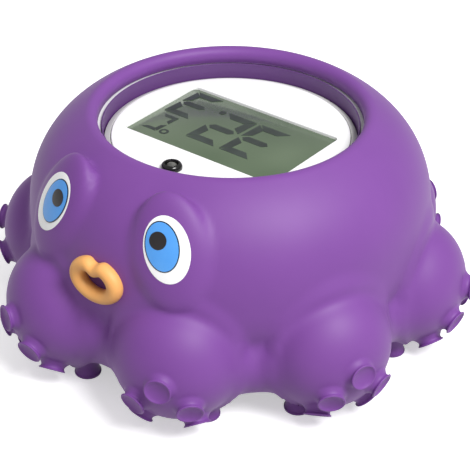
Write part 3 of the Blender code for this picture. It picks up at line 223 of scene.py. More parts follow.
def surface(name, colour, roughness, ior=1.5, metallic=0.0):
    """A Principled surface with plain values on its own sockets, ready for patterns."""
    mat = bpy.data.materials.new(name)
    mat.use_nodes = True
    shader = mat.node_tree.nodes["Principled BSDF"]
    shader.inputs["Base Color"].default_value = linear(colour)
    shader.inputs["Roughness"].default_value = roughness
    shader.inputs["Metallic"].default_value = metallic
    shader.inputs["IOR"].default_value = ior
    return mat, mat.node_tree, shader


def noise(tree, size_mm, detail, roughness=0.5):
    """Noise in the piece's own space, its patches a given number of millimetres across."""
    where = add(tree, "ShaderNodeTexCoord").outputs["Object"]
    values = {"Scale": 1000 / size_mm, "Detail": detail, "Roughness": roughness}
    return add(tree, "ShaderNodeTexNoise", values, Vector=where).outputs["Fac"]


def two_tone(tree, shader, share, low, high, spread):
    """Base colour that drifts between two near colours with the noise it is given."""
    ramp = add(tree, "ShaderNodeValToRGB", Fac=share)
    ramp.color_ramp.elements[0].position = 0.5 - spread
    ramp.color_ramp.elements[0].color = linear(low)
    ramp.color_ramp.elements[1].position = 0.5 + spread
    ramp.color_ramp.elements[1].color = linear(high)
    tree.links.new(ramp.outputs["Color"], shader.inputs["Base Color"])


def mottle(tree, shader, low, high, size_mm, spread=0.15):
    """Soft drift between two near colours, patches a given number of millimetres across."""
    two_tone(tree, shader, noise(tree, size_mm, 3.0), low, high, spread)


def grain(tree, shader, size_mm, depth_mm, strength=0.5):
    """A fine raised grain in the surface."""
    values = {"Strength": strength, "Distance": depth_mm * MM}
    bump = add(tree, "ShaderNodeBump", values, Height=noise(tree, size_mm, 2.0, 0.6))
    tree.links.new(bump.outputs["Normal"], shader.inputs["Normal"])


def uneven_gloss(tree, shader, size_mm, low, high):
    """Roughness that drifts, as on handled plastic."""
    spread = add(tree, "ShaderNodeMapRange", {"To Min": low, "To Max": high}, Value=noise(tree, size_mm, 4.0))
    tree.links.new(spread.outputs["Result"], shader.inputs["Roughness"])


def soft_vinyl(name, low, high, roughness=0.55):
    """Rotation-moulded matt vinyl: a fine satin grain breaks up the highlight, the colour barely drifts."""
    mat, tree, shader = surface(name, low, roughness, ior=1.45)
    mottle(tree, shader, low, high, 16.0, 0.25)
    grain(tree, shader, 0.35, 0.02, 0.35)
    shader.inputs["Sheen Weight"].default_value = 0.04
    shader.inputs["Sheen Roughness"].default_value = 0.5
    return mat


def moulded_abs(name, low, high, roughness=(0.22, 0.34)):
    """Injection-moulded ABS: nearly even colour, gloss that drifts where it was handled."""
    mat, tree, shader = surface(name, low, roughness[0], ior=1.53)
    mottle(tree, shader, low, high, 22.0, 0.3)
    uneven_gloss(tree, shader, 6.0, *roughness)
    grain(tree, shader, 0.6, 0.006, 0.25)
    return mat


def pad_ink(name, low, high):
    """Pad-printed ink: flat colour with a faint pebble from the pad and a satin gloss."""
    mat, tree, shader = surface(name, low, 0.3, ior=1.5)
    mottle(tree, shader, low, high, 2.5, 0.3)
    grain(tree, shader, 0.3, 0.006, 0.3)
    return mat


def plated_metal(name, low, high, roughness=(0.2, 0.36)):
    """Plated or drawn metal: a slight cloudiness and fine draw marks."""
    mat, tree, shader = surface(name, low, roughness[0], ior=2.5, metallic=1.0)
    mottle(tree, shader, low, high, 3.0, 0.3)
    uneven_gloss(tree, shader, 1.2, *roughness)
    grain(tree, shader, 0.15, 0.003, 0.3)
    return mat


def moulded_silicone(name, low, high):
    """Press-moulded silicone: dull, faintly translucent grey."""
    mat, tree, shader = surface(name, low, 0.6, ior=1.41)
    mottle(tree, shader, low, high, 4.0, 0.25)
    grain(tree, shader, 0.25, 0.01, 0.4)
    return mat


def board_laminate():
    """Glass-epoxy laminate under green solder mask: the weave of the glass shows as a faint grid."""
    mat, tree, shader = surface("board_glass_epoxy", "#1E5A32", 0.35, ior=1.55)
    where = add(tree, "ShaderNodeTexCoord").outputs["Object"]
    weave = add(tree, "ShaderNodeTexChecker", {"Scale": 1000 / 0.8, "Color1": linear("#1B5530"),
                                               "Color2": linear("#236A3A")}, Vector=where)
    tree.links.new(weave.outputs["Color"], shader.inputs["Base Color"])
    grain(tree, shader, 0.4, 0.006, 0.4)
    return mat


def display_glass():
    """Polariser film over a liquid crystal: grey-green, its colour drifting in broad patches, partly the
    film's cloudiness and partly painted reflection.
    """
    mat, tree, shader = surface("polariser_film", "#74856F", 0.22)
    # broad patches between a darker and a lighter grey-green: partly the film's cloudiness, partly painted
    # reflection
    two_tone(tree, shader, noise(tree, 26.0, 1.0), "#465840", "#5F6F57", 0.14)
    grain(tree, shader, 0.12, 0.002, 0.3)
    shader.inputs["Coat Weight"].default_value = 0.4
    shader.inputs["Coat Roughness"].default_value = 0.08
    return mat


# Modelling helpers

def finished(bm, name, mat, cad_nodes, smooth_angle):
    """A piece from a bmesh: shaded, riding on the body and standing for its CAD nodes."""
    bmesh.ops.recalc_face_normals(bm, faces=bm.faces)
    mesh = bpy.data.meshes.new(name)
    bm.to_mesh(mesh)
    bm.free()
    obj = bpy.data.objects.new(name, mesh)
    bpy.context.scene.collection.objects.link(obj)
    return dressed(obj, mat, cad_nodes, smooth_angle)


def dressed(obj, mat, cad_nodes, smooth_angle):
    """Material, shading and the calls that tie a piece to the frame."""
    obj.data.materials.clear()
    obj.data.materials.append(mat)
    obj.data.shade_smooth()
    obj.data.set_sharp_from_angle(angle=math.radians(smooth_angle))
    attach(obj, "root")
    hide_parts(*cad_nodes)
    return obj


def turned(bm, profile, centre=(0.0, 0.0), steps=TURN_STEPS, closed=True):
    """Turn radius and height pairs about an upright axis."""
    verts = [bm.verts.new((centre[0] + r, centre[1], z)) for r, z in profile]
    edges = [bm.edges.new(pair) for pair in zip(verts, verts[1:])]
    if closed:
        edges.append(bm.edges.new((verts[-1], verts[0])))
    bmesh.ops.spin(bm, geom=verts + edges, cent=(centre[0], centre[1], 0), axis=(0, 0, 1), angle=2 * math.pi,
                   steps=steps, use_merge=True, use_duplicate=False)
    bmesh.ops.remove_doubles(bm, verts=bm.verts, dist=0.000001)


def arc(centre, radii, start_deg, end_deg, count):
    """Points of an ellipse arc as radius and height pairs."""
    points = []
    for i in range(count + 1):
        angle = math.radians(start_deg + (end_deg - start_deg) * i / count)
        points.append((centre[0] + radii[0] * math.cos(angle), centre[1] + radii[1] * math.sin(angle)))
    return points


def rounded(profile, radius, count=4):
    """The same closed profile with each corner rounded."""
    points = []
    for before, at, after in zip(profile[-1:] + profile[:-1], profile, profile[1:] + profile[:1]):
        corner = Vector(at)
        start = Vector(before) - corner
        end = Vector(after) - corner
        reach = min(radius, start.length * 0.45, end.length * 0.45)
        start = corner + start.normalized() * reach
        end = corner + end.normalized() * reach
        for i in range(count + 1):
            t = i / count
            points.append(tuple(start * (1 - t) ** 2 + corner * 2 * t * (1 - t) + end * t ** 2))
    return points


def moved(obj, points):
    """Set a mesh's vertices."""
    obj.data.vertices.foreach_set("co", np.ascontiguousarray(points).reshape(-1))
    obj.data.update()


# The octopus as a distance field: negative inside, zero on the skin

def blend(a, b, width):
    """Join two fields with a fillet of the given width."""
    share = np.clip(0.5 + 0.5 * (b - a) / width, 0, 1)
    return b + (a - b) * share - width * share * (1 - share)


def oval_field(x, y, z, axes):
    """Distance to an ellipsoid, near enough for modelling."""
    scaled = np.sqrt((x / axes[0]) ** 2 + (y / axes[1]) ** 2 + (z / axes[2]) ** 2) + 1e-9
    slope = np.sqrt((x / axes[0] ** 2) ** 2 + (y / axes[1] ** 2) ** 2 + (z / axes[2] ** 2) ** 2) + 1e-9
    return scaled * (scaled - 1) / slope


def head_field(radius, z):
    """The domed head, with a gentler tuck below its equator."""
    rise = z - HEAD_EQUATOR_Z
    half = np.where(rise > 0, HEAD_RISE, HEAD_DROP)
    power = np.where(rise > 0, HEAD_EXPONENT, HEAD_TUCK_EXPONENT)
    u = radius / HEAD_RADIUS + 1e-9
    v = np.abs(rise) / half + 1e-9
    level = (u ** power + v ** power) ** (1 / power)
    along = (u / level) ** (power - 1) / HEAD_RADIUS
    up = (v / level) ** (power - 1) / half
    return (level - 1) / np.sqrt(along ** 2 + up ** 2)


def arch_field(out, side, z, ring_radius, arch_radius, thickness, fade):
    """A half ring over a tentacle, thickest at its top and fading down its sides."""
    reach = np.hypot(side, z) + 1e-9
    thick = thickness * (0.5 + 0.5 * z / reach) ** fade
    return np.hypot(reach - arch_radius, out - ring_radius) - thick


def tentacle_fields(p):
    """The nearest bulbs, and the collars and ridges above them."""
    angle = np.arctan2(p[..., 1], p[..., 0]) + math.pi / 2 - PITCH / 2
    local = (angle + PITCH / 2) % PITCH - PITCH / 2
    radius = np.hypot(p[..., 0], p[..., 1])
    bulb, collar, ridge = None, None, None
    for step in (-1, 0, 1):
        out = radius * np.cos(local + step * PITCH)
        side = radius * np.sin(local + step * PITCH)
        new_bulb = oval_field(out - BULB_RING_RADIUS, side, p[..., 2] - BULB_Z, BULB_AXES)
        new_collar = arch_field(out, side, p[..., 2] - COLLAR_Z, COLLAR_RING_RADIUS, COLLAR_ARCH_RADIUS,
                                COLLAR_THICKNESS, COLLAR_FADE)
        new_ridge = arch_field(out, side, p[..., 2] - RIDGE_Z, RIDGE_RING_RADIUS, RIDGE_ARCH_RADIUS,
                               RIDGE_THICKNESS, RIDGE_FADE)
        bulb = new_bulb if bulb is None else blend(bulb, new_bulb, BLEND_NEIGHBOUR)
        collar = new_collar if collar is None else blend(collar, new_collar, BLEND_NEIGHBOUR)
        ridge = new_ridge if ridge is None else blend(ridge, new_ridge, BLEND_NEIGHBOUR)
    return bulb, collar, ridge


def eye_axes(lean):
    """The eye's outward, sideways and upward directions on the +X side."""
    flat = math.cos(EYE_TILT)
    out = np.array([math.sin(EYE_AZIMUTH) * flat, -math.cos(EYE_AZIMUTH) * flat, math.sin(EYE_TILT)])
    side = np.array([math.cos(EYE_AZIMUTH), math.sin(EYE_AZIMUTH), 0.0])
    up = np.cross(out, side)
    up = up if up[2] > 0 else -up
    return out, side * math.cos(lean) + up * math.sin(lean), up * math.cos(lean) - side * math.sin(lean)


def eye_seat():
    """The point of the head's skin behind the middle of the mound."""
    rise = (MOUND_Z - HEAD_EQUATOR_Z) / HEAD_RISE
    radius = HEAD_RADIUS * (1 - rise ** HEAD_EXPONENT) ** (1 / HEAD_EXPONENT)
    return np.array([math.sin(EYE_AZIMUTH) * radius, -math.cos(EYE_AZIMUTH) * radius, MOUND_Z])


def mound_field(p):
    """The raised ovals round the eyes, mirrored across the face."""
    out, side, up = eye_axes(MOUND_LEAN)
    q = np.stack([np.abs(p[..., 0]), p[..., 1], p[..., 2]], -1) - (eye_seat() - out * MOUND_SINK)
    return oval_field(q @ side, q @ up, q @ out, MOUND_AXES)


def body_field(p):
    """The whole skin without its suction cups."""
    radius = np.hypot(p[..., 0], p[..., 1])
    web = oval_field(radius - WEB_RING_RADIUS, 0.0, p[..., 2] - WEB_Z, WEB_AXES)
    bulb, collar, ridge = tentacle_fields(p)
    lower = blend(web, bulb, BLEND_WEB)
    upper = blend(head_field(radius, p[..., 2]), collar, BLEND_COLLAR)
    upper = blend(upper, ridge, BLEND_RIDGE)
    return blend(blend(upper, lower, BLEND_CREASE), mound_field(p), BLEND_EYE)


def mouthed_field(p):
    """The skin with the hollow of the mouth sunk into it."""
    hollow = oval_field(p[..., 0], p[..., 1] + HEAD_RADIUS, p[..., 2] - MOUTH_Z, MOUTH_AXES)
    return -blend(-body_field(p), hollow, BLEND_MOUTH)


def reach_of_skin(start, direction, depth, far, field=body_field):
    """Distance along each ray to the outermost place that lies the given depth inside the skin."""
    high = np.full(direction.shape[:-1], far)
    low = np.zeros_like(high)
    found = np.zeros(high.shape, bool)
    for step in np.linspace(far, 0, 80):
        inside = field(start + direction * step) < -depth
        low[inside & ~found] = step
        high[~found & ~inside] = step
        found |= inside
    for _ in range(18):
        middle = (low + high) / 2
        inside = field(start + direction * middle[..., None]) < -depth
        low = np.where(inside, middle, low)
        high = np.where(inside, high, middle)
    return low


def skin_normal(p):
    """The field's outward direction at each point."""
    step = 0.05 * MM
    slope = [body_field(p + np.eye(3)[k] * step) - body_field(p - np.eye(3)[k] * step) for k in range(3)]
    slope = np.stack(slope, -1)
    return slope / np.linalg.norm(slope, axis=-1, keepdims=True)


# Rubber body

def in_planes(azimuths, radius, height):
    """Radius and height pairs as points in the upright plane of each azimuth."""
    out = np.stack([np.cos(azimuths), np.sin(azimuths), np.zeros_like(azimuths)], -1)
    radius = np.asarray(radius)[None, :, None]
    height = np.asarray(height)[None, :, None]
    return out[:, None, :] * radius + np.array([0, 0, 1.0]) * height


def ray_points(azimuths, angles, depth, field):
    """Points of the skin, or inside it, in each azimuth's plane."""
    direction = in_planes(azimuths, np.cos(angles), np.sin(angles))
    start = np.broadcast_to(in_planes(azimuths, [RAY_RING_RADIUS], [RAY_RING_Z]), direction.shape)
    return start + direction * reach_of_skin(start, direction, depth, RAY_FAR, field)[..., None]


def circle_points(azimuths, profile):
    """The same radius and height pairs in each azimuth's plane."""
    return in_planes(azimuths, [r for r, _ in profile], [z for _, z in profile])


def rim_profile():
    """The rubber lip over the module's flange, up and over its crest to the head."""
    drop = CREST_RADIUS - LIP_RADIUS
    top = [(LIP_RADIUS + 0.3 * MM, LIP_BOTTOM), (LIP_RADIUS, LIP_BOTTOM + 0.3 * MM)]
    top += arc((CREST_RADIUS, CREST_TOP - drop), (drop, drop), 180, 90, 10)
    for t in (0.25, 0.5, 0.75):
        width = RIM_RADIUS - CREST_RADIUS
        top.append((CREST_RADIUS + width * t, CREST_TOP - 0.35 * MM * t ** 1.8))
    return top


def octopus_skin(mat):
    """The whole rubber wall, seen from outside and from under the rim and foot."""
    groove = FLANGE_RADIUS + 0.3 * MM
    foot_low = FOOT_BOTTOM - 2.4 * MM
    foot = [
        (FOOT_SEAT_RADIUS + 2.6 * MM, foot_low - 1.2 * MM),
        (FOOT_SEAT_RADIUS + 1.6 * MM, foot_low - 1.25 * MM),
        (FOOT_SEAT_RADIUS + 0.7 * MM, foot_low - 1.0 * MM),
        (FOOT_SEAT_RADIUS + 0.2 * MM, foot_low - 0.5 * MM),
        (FOOT_SEAT_RADIUS, foot_low),
        (FOOT_SEAT_RADIUS, foot_low + 5.0 * MM),
        (FOOT_SEAT_RADIUS + WALL, foot_low + 5.0 * MM),
    ]
    seat = FLANGE_TOP - 10.0 * MM
    neck = [
        (groove + 3.5 * MM, FLANGE_TOP - 2.6 * MM),
        (groove + 2.7 * MM, FLANGE_TOP - 4.5 * MM),
        (groove + 2.7 * MM, seat - 0.8 * MM),
        (groove, seat - 2.5 * MM),
        (FOOT_SEAT_RADIUS, seat - 2.5 * MM),
        (FOOT_SEAT_RADIUS, seat),
        (groove, seat),
        (groove, LIP_BOTTOM),
    ]
    azimuths = np.arange(SKIN_AZIMUTHS) * 2 * math.pi / SKIN_AZIMUTHS
    top = math.atan2(CREST_TOP - RAY_RING_Z - 0.35 * MM, RIM_RADIUS - RAY_RING_RADIUS)
    angles = np.linspace(top, math.radians(SKIN_BOTTOM_DEG), SKIN_POINTS)
    section = np.concatenate([
        circle_points(azimuths, rim_profile()),
        ray_points(azimuths, angles, 0.0, mouthed_field),
        circle_points(azimuths, foot),
        ray_points(azimuths, np.radians(np.linspace(-44, 60, 9)), WALL, body_field),
        circle_points(azimuths, neck),
    ], axis=1)
    count = section.shape[1]
    bpy.ops.mesh.primitive_torus_add(major_segments=SKIN_AZIMUTHS, minor_segments=count,
                                     major_radius=BULB_RING_RADIUS, minor_radius=BULB_AXES[0])
    skin_obj = bpy.context.object
    skin_obj.name = "octopus_skin"
    # a torus counts its section from the outside upwards, and this section runs the other way
    moved(skin_obj, section[:, ::-1])
    return dressed(skin_obj, mat, ["octopus_shell"], 60)


def cup_profile():
    """A suction cup's section from its root fillet over the rim into the dish."""
    root = CUP_ROOT_RADIUS - CUP_NECK_RADIUS
    neck_top = CUP_HEIGHT * 0.55
    points = arc((CUP_ROOT_RADIUS, neck_top), (root, neck_top), 270, 180, 8)
    flare = CUP_RIM_RADIUS - CUP_NECK_RADIUS
    for i in range(1, 5):
        t = i / 5
        points.append((CUP_NECK_RADIUS + flare * t ** 1.6, neck_top + (CUP_HEIGHT * 0.36) * t))
    points += arc((CUP_RIM_RADIUS - 0.22 * MM, CUP_HEIGHT - 0.2 * MM), (0.24 * MM, 0.2 * MM), -20, 150, 7)
    dish = CUP_RIM_RADIUS - 0.6 * MM
    for i in range(9):
        t = i / 8
        points.append((dish * (1 - t), CUP_HEIGHT - 0.25 * MM - CUP_DISH * math.sin(t * math.pi / 2) ** 0.7))
    return points


def suction_cups(mat):
    """Seven cups on each tentacle, their roots flowing out of the skin."""
    template = bmesh.new()
    turned(template, cup_profile(), steps=36, closed=False)
    co = np.array([tuple(v.co) for v in template.verts])
    shape = bpy.data.meshes.new("cup_template")
    template.to_mesh(shape)
    template.free()
    bm = bmesh.new()
    places = []
    for tentacle in range(TENTACLES):
        azimuth = -math.pi / 2 + PITCH * (tentacle + 0.5)
        out = np.array([math.cos(azimuth), math.sin(azimuth), 0.0])
        side = np.array([-math.sin(azimuth), math.cos(azimuth), 0.0])
        for row, slope in CUP_SLOPE_DEG:
            bm.from_mesh(shape)
            places.append(cup_points(co, out, side, row, math.radians(slope)))
    bm.verts.ensure_lookup_table()
    for vert, spot in zip(bm.verts, np.concatenate(places)):
        vert.co = spot
    bpy.data.meshes.remove(shape)
    return finished(bm, "suction_cups", mat, ["octopus_shell"], 70)


def cup_points(co, out, side, row, slope):
    """One cup's points: flat at the rim, on the skin at the root."""
    start = out * CUP_RING_RADIUS + side * row * CUP_ROW_OFFSET + np.array([0, 0, CUP_RING_Z])
    ray = out * math.cos(slope) - np.array([0, 0, 1.0]) * math.sin(slope)
    at = start + ray * reach_of_skin(start, ray, 0.0, 2 * CUP_RING_Z)
    axis = skin_normal(at)
    height = CUP_HEIGHT
    if row and slope > math.radians(80):
        axis = np.array([0, 0, -1.0])
        height = at[2]
    across = np.cross(axis, side if abs(axis @ side) < 0.9 else out)
    across /= np.linalg.norm(across)
    along = np.cross(axis, across)
    flat = co[:, :1] * across + co[:, 1:2] * along
    radius = np.hypot(co[:, 0], co[:, 1])
    begin = at + flat + axis * 3 * MM
    inward = np.broadcast_to(-axis, begin.shape)
    span = 14 * MM
    reach = reach_of_skin(begin + inward * span, -inward, 0.0, span)
    on_skin = begin + inward * (span - reach)[:, None]
    lift = (on_skin - at) @ axis
    share = np.clip((radius - 0.9 * CUP_NECK_RADIUS) / (CUP_ROOT_RADIUS - 0.9 * CUP_NECK_RADIUS), 0, 1)
    share = share * (1 - co[:, 2] / CUP_HEIGHT)
    rise = co[:, 2] / CUP_HEIGHT * height
    return at + flat + axis * (rise + lift * np.clip(share * 1.6, 0, 1))[:, None]


# Face

def eye_print(name, axes, shift, layer, mirror, mat, node):
    """A thin oval of ink that follows the mound."""
    out, side, up = eye_axes(PRINT_LEAN)
    bm = bmesh.new()
    bmesh.ops.create_uvsphere(bm, u_segments=96, v_segments=28, radius=1.0)
    unit = np.array([tuple(v.co) for v in bm.verts])
    seat = eye_seat() + side * shift[0] + up * shift[1]
    flat = seat + unit[:, :1] * axes[0] * side + unit[:, 1:2] * axes[1] * up
    begin = flat + out * 8 * MM
    span = 16 * MM
    inward = np.broadcast_to(-out, begin.shape)
    skin = begin + inward * (span - reach_of_skin(begin + inward * span, -inward, 0.0, span))[:, None]
    height = PRINT_LIFT + PRINT_THICKNESS / 2 + layer * (PRINT_LIFT + PRINT_THICKNESS)
    points = skin + out * (height + unit[:, 2:3] * PRINT_THICKNESS / 2)
    if mirror:
        points[:, 0] *= -1
    for vert, spot in zip(bm.verts, points):
        vert.co = spot
    return finished(bm, name, mat, [node], 80)


def eyes():
    """White, outline, iris and pupil on both sides."""
    white = pad_ink("white_pad_ink", "#FEFEFE", "#FFFFFF")
    navy = pad_ink("navy_pad_ink", "#16263A", "#1C3048")
    blue = pad_ink("blue_pad_ink", "#4F9DEE", "#5AA6F2")
    black = pad_ink("black_pad_ink", "#1E1A1C", "#262224")
    line = (IRIS_AXES[0] + OUTLINE_WIDTH, IRIS_AXES[1] + OUTLINE_WIDTH)
    pupil = (PUPIL_RADIUS, PUPIL_RADIUS)
    layers = (
        ("white_print_", WHITE_AXES, WHITE_SHIFT, white, "eye_white_", "eye_white"),
        ("iris_outline_", line, IRIS_SHIFT, navy, "iris_", "eye_black"),
        ("iris_print_", IRIS_AXES, IRIS_SHIFT, blue, "iris_", "eye_blue"),
        ("pupil_print_", pupil, PUPIL_SHIFT, black, "pupil_", "eye_black"),
    )
    for word, mirror in (("left", True), ("right", False)):
        for layer, (name, axes, shift, ink, node, slot) in enumerate(layers):
            eye_print(name + word, axes, shift, layer, mirror, ink, node + word)


def lips(mat):
    """Soft lips round the open mouth, with a bow in the upper one."""
    tube = 0.25
    bpy.ops.mesh.primitive_torus_add(major_segments=128, minor_segments=40, major_radius=1.0,
                                     minor_radius=tube)
    ring = bpy.context.object
    ring.name = "lips"
    co = np.array([tuple(v.co) for v in ring.data.vertices])
    around = np.arctan2(co[:, 1], co[:, 0])
    off = (np.hypot(co[:, 0], co[:, 1]) - 1.0) / tube
    front = co[:, 2] / tube
    x = np.cos(around) * (LIPS_AXES[0] + off * LIPS_SECTION[0])
    z = np.sin(around) * (LIPS_AXES[1] + off * LIPS_SECTION[1])
    bow = LIPS_BOW_DEPTH * np.exp(-(x / LIPS_BOW_WIDTH) ** 2) * np.clip(np.sin(around), 0, 1)
    points = np.stack([x, -LIPS_RADIUS - front * LIPS_DEPTH, MOUTH_Z + z - bow], -1)
    moved(ring, points)
    return dressed(ring, mat, ["mouth_lips"], 80)


# Module

def face_plate(mat):
    """The white plate with its rounded edge and its window."""
    bm = bmesh.new()
    edge = 0.3 * MM
    corner = arc((PLATE_RADIUS - edge, PLATE_TOP - edge), (edge, edge), 90, 0, 5)
    profile = [(0.0, PLATE_TOP), *corner, (PLATE_RADIUS, PLATE_BOTTOM), (0.0, PLATE_BOTTOM)]
    turned(bm, profile, closed=False)
    plate = finished(bm, "module_face", mat, ["face_plate"], 30)
    cut(plate, window_block())
    bevel = plate.modifiers.new("soft_edges", "BEVEL")
    bevel.width = 0.18 * MM
    bevel.segments = 3
    bevel.limit_method = "ANGLE"
    bevel.angle_limit = math.radians(50)
    apply_modifiers(plate)
    plate.data.shade_smooth()
    plate.data.set_sharp_from_angle(angle=math.radians(30))


def window_block():
    """A rounded block through the plate where the window is."""
    bm = bmesh.new()
    bmesh.ops.create_cube(bm, size=1.0)
    spot = Matrix.Translation((0, 0, PLATE_TOP)) @ Matrix.Diagonal((WINDOW_LENGTH, WINDOW_WIDTH, 8 * MM, 1.0))
    bmesh.ops.transform(bm, matrix=spot, verts=bm.verts)
    upright = [e for e in bm.edges if abs(e.verts[0].co.z - e.verts[1].co.z) > MM]
    bmesh.ops.bevel(bm, geom=upright, offset=WINDOW_CORNER, offset_type="OFFSET", segments=8, profile=0.5,
                    affect="EDGES", material=-1)
    mesh = bpy.data.meshes.new("window_block")
    bm.to_mesh(mesh)
    bm.free()
    block = bpy.data.objects.new("window_block", mesh)
    bpy.context.scene.collection.objects.link(block)
    return block


def cut(obj, tool):
    """Cut a form out of a piece and remove the tool."""
    modifier = obj.modifiers.new("cut", "BOOLEAN")
    modifier.operation = "DIFFERENCE"
    modifier.solver = "EXACT"
    modifier.object = tool
    apply_modifiers(obj)
    bpy.data.objects.remove(tool)


def apply_modifiers(obj):
    """Make the evaluated shape the piece's own mesh."""
    deps = bpy.context.evaluated_depsgraph_get()
    mesh = bpy.data.meshes.new_from_object(obj.evaluated_get(deps))
    obj.modifiers.clear()
    obj.data = mesh


def module_rings(white, trim):
    """The bezel round the plate, and the thin purple ring outside it."""
    bm = bmesh.new()
    inner = PLATE_RADIUS + 0.15 * MM
    bezel = [
        (inner, PLATE_TOP - 0.15 * MM),
        (BEZEL_RADIUS, PLATE_TOP - 0.7 * MM),
        (BEZEL_RADIUS, BEZEL_BOTTOM),
        (inner - 0.8 * MM, BEZEL_BOTTOM),
        (inner - 0.8 * MM, BEZEL_BOTTOM + 1.8 * MM),
        (inner, BEZEL_BOTTOM + 1.8 * MM),
    ]
    turned(bm, rounded(bezel, 0.15 * MM))
    finished(bm, "module_bezel", white, ["bezel_ring"], 40)
    bm = bmesh.new()
    inner = TRIM_RADIUS - 0.3 * MM
    ring = [
        (inner, TRIM_HIGH.z),
        (TRIM_RADIUS, TRIM_HIGH.z),
        (TRIM_RADIUS, TRIM_LOW.z),
        (inner, TRIM_LOW.z),
    ]
    turned(bm, rounded(ring, 0.1 * MM))
    finished(bm, "module_trim", trim, ["trim_ring"], 40)


def lamp():
    """The alarm lamp's black bezel and its smoked dome."""
    top = LAMP_HIGH.z
    radius = LAMP_HIGH.x
    centre = (LAMP_CENTRE.x, LAMP_CENTRE.y)
    shoulder = (LAMP_BORE + 0.2 * MM, PLATE_TOP + 0.35 * MM)
    profile = [
        (LAMP_BORE, top - 0.3 * MM),
        *arc(shoulder, (radius - shoulder[0], top - shoulder[1]), 90, 0, 12),
        (radius, PLATE_TOP + 0.15 * MM),
        (LAMP_STEM_RADIUS, PLATE_TOP + 0.15 * MM),
        (LAMP_STEM_RADIUS, LAMP_LOW.z),
        (LAMP_BORE, LAMP_LOW.z),
    ]
    mat, tree, shader = surface("lamp_black_gloss", "#141414", 0.18, ior=1.5)
    mottle(tree, shader, "#101010", "#1A1A1A", 1.5)
    uneven_gloss(tree, shader, 0.8, 0.14, 0.24)
    bm = bmesh.new()
    turned(bm, profile, centre, 96)
    finished(bm, "lamp_holder", mat, ["lamp_bezel"], 40)
    lens_mat, tree, shader = surface("lamp_smoked_epoxy", "#5A5A58", 0.12, ior=1.55)
    mottle(tree, shader, "#4A4A48", "#6A6A66", 1.2)
    bm = bmesh.new()
    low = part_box("lamp_lens")[0].z
    dome = arc((0.0, top - LENS_RISE), (LENS_RADIUS, LENS_RISE), 85, 0, 10)
    turned(bm, [(0.0, top), *dome, (LENS_RADIUS, low), (0.0, low)], centre, 64, False)
    finished(bm, "lamp_dome", lens_mat, ["lamp_lens"], 40)


# Display

def bar(bm, points, top):
    """A flat stroke on the glass from its outline, text running towards -X."""
    verts = [bm.verts.new((-x * MM, -y * MM, top)) for x, y in points]
    face = bm.faces.new(verts)
    face.normal_update()
    grown = bmesh.ops.extrude_face_region(bm, geom=[face])
    lifted = [v for v in grown["geom"] if isinstance(v, bmesh.types.BMVert)]
    bmesh.ops.translate(bm, verts=lifted, vec=(0, 0, STROKE_HEIGHT))


def stroke_across(left, right, middle, half, slope, kind):
    """A level stroke. Its ends are cut for a top, a middle or a bottom stroke."""
    tip = half * 0.95
    if kind == "top":
        low, high = 2 * tip, 0.0
    elif kind == "bottom":
        low, high = 0.0, 2 * tip
    else:
        low, high = tip, tip
    lean = slope * half
    if kind == "middle":
        return [(left + tip - lean, middle - half), (right - tip - lean, middle - half), (right, middle),
                (right - tip + lean, middle + half), (left + tip + lean, middle + half), (left, middle)]
    return [(left + low - lean, middle - half), (right - low - lean, middle - half),
            (right - high + lean, middle + half), (left + high + lean, middle + half)]


def stroke_up(middle, low, high, half, slope, side):
    """An upright stroke, its inner corners cut back."""
    tip = half * 1.5
    shift = slope * (high - low) / 2
    inner = -half if side == "right" else half
    return [(middle - shift - inner, low), (middle - shift + inner, low + tip),
            (middle + shift + inner, high - tip), (middle + shift - inner, high)]


def digit_strokes(sign, centre, width, height, thick, slope=0.07):
    """Outlines of one seven-segment sign, the gaps between strokes left open."""
    half = thick / 2
    gap = thick * 0.14
    left = centre[0] - width / 2
    right = centre[0] + width / 2
    top = centre[1] + height / 2 - half
    mid = centre[1]
    bottom = centre[1] - height / 2 + half
    lean = slope * (height / 2 - half)
    shapes = {
        "a": stroke_across(left + lean + gap, right + lean - gap, top, half, slope, "top"),
        "g": stroke_across(left + thick * 0.35, right - thick * 0.35, mid, half * 0.95, slope, "middle"),
        "d": stroke_across(left - lean + gap, right - lean - gap, bottom, half, slope, "bottom"),
        "b": stroke_up(right - half + lean / 2, mid + gap * 1.6, top + half - gap, half, slope, "right"),
        "c": stroke_up(right - half - lean / 2, bottom - half + gap, mid - gap * 1.6, half, slope, "right"),
        "f": stroke_up(left + half + lean / 2, mid + gap * 1.6, top + half - gap, half, slope, "left"),
        "e": stroke_up(left + half - lean / 2, bottom - half + gap, mid - gap * 1.6, half, slope, "left"),
    }
    return [shapes[letter] for letter in {"2": "abged", "3": "abgcd", "C": "afed"}[sign]]


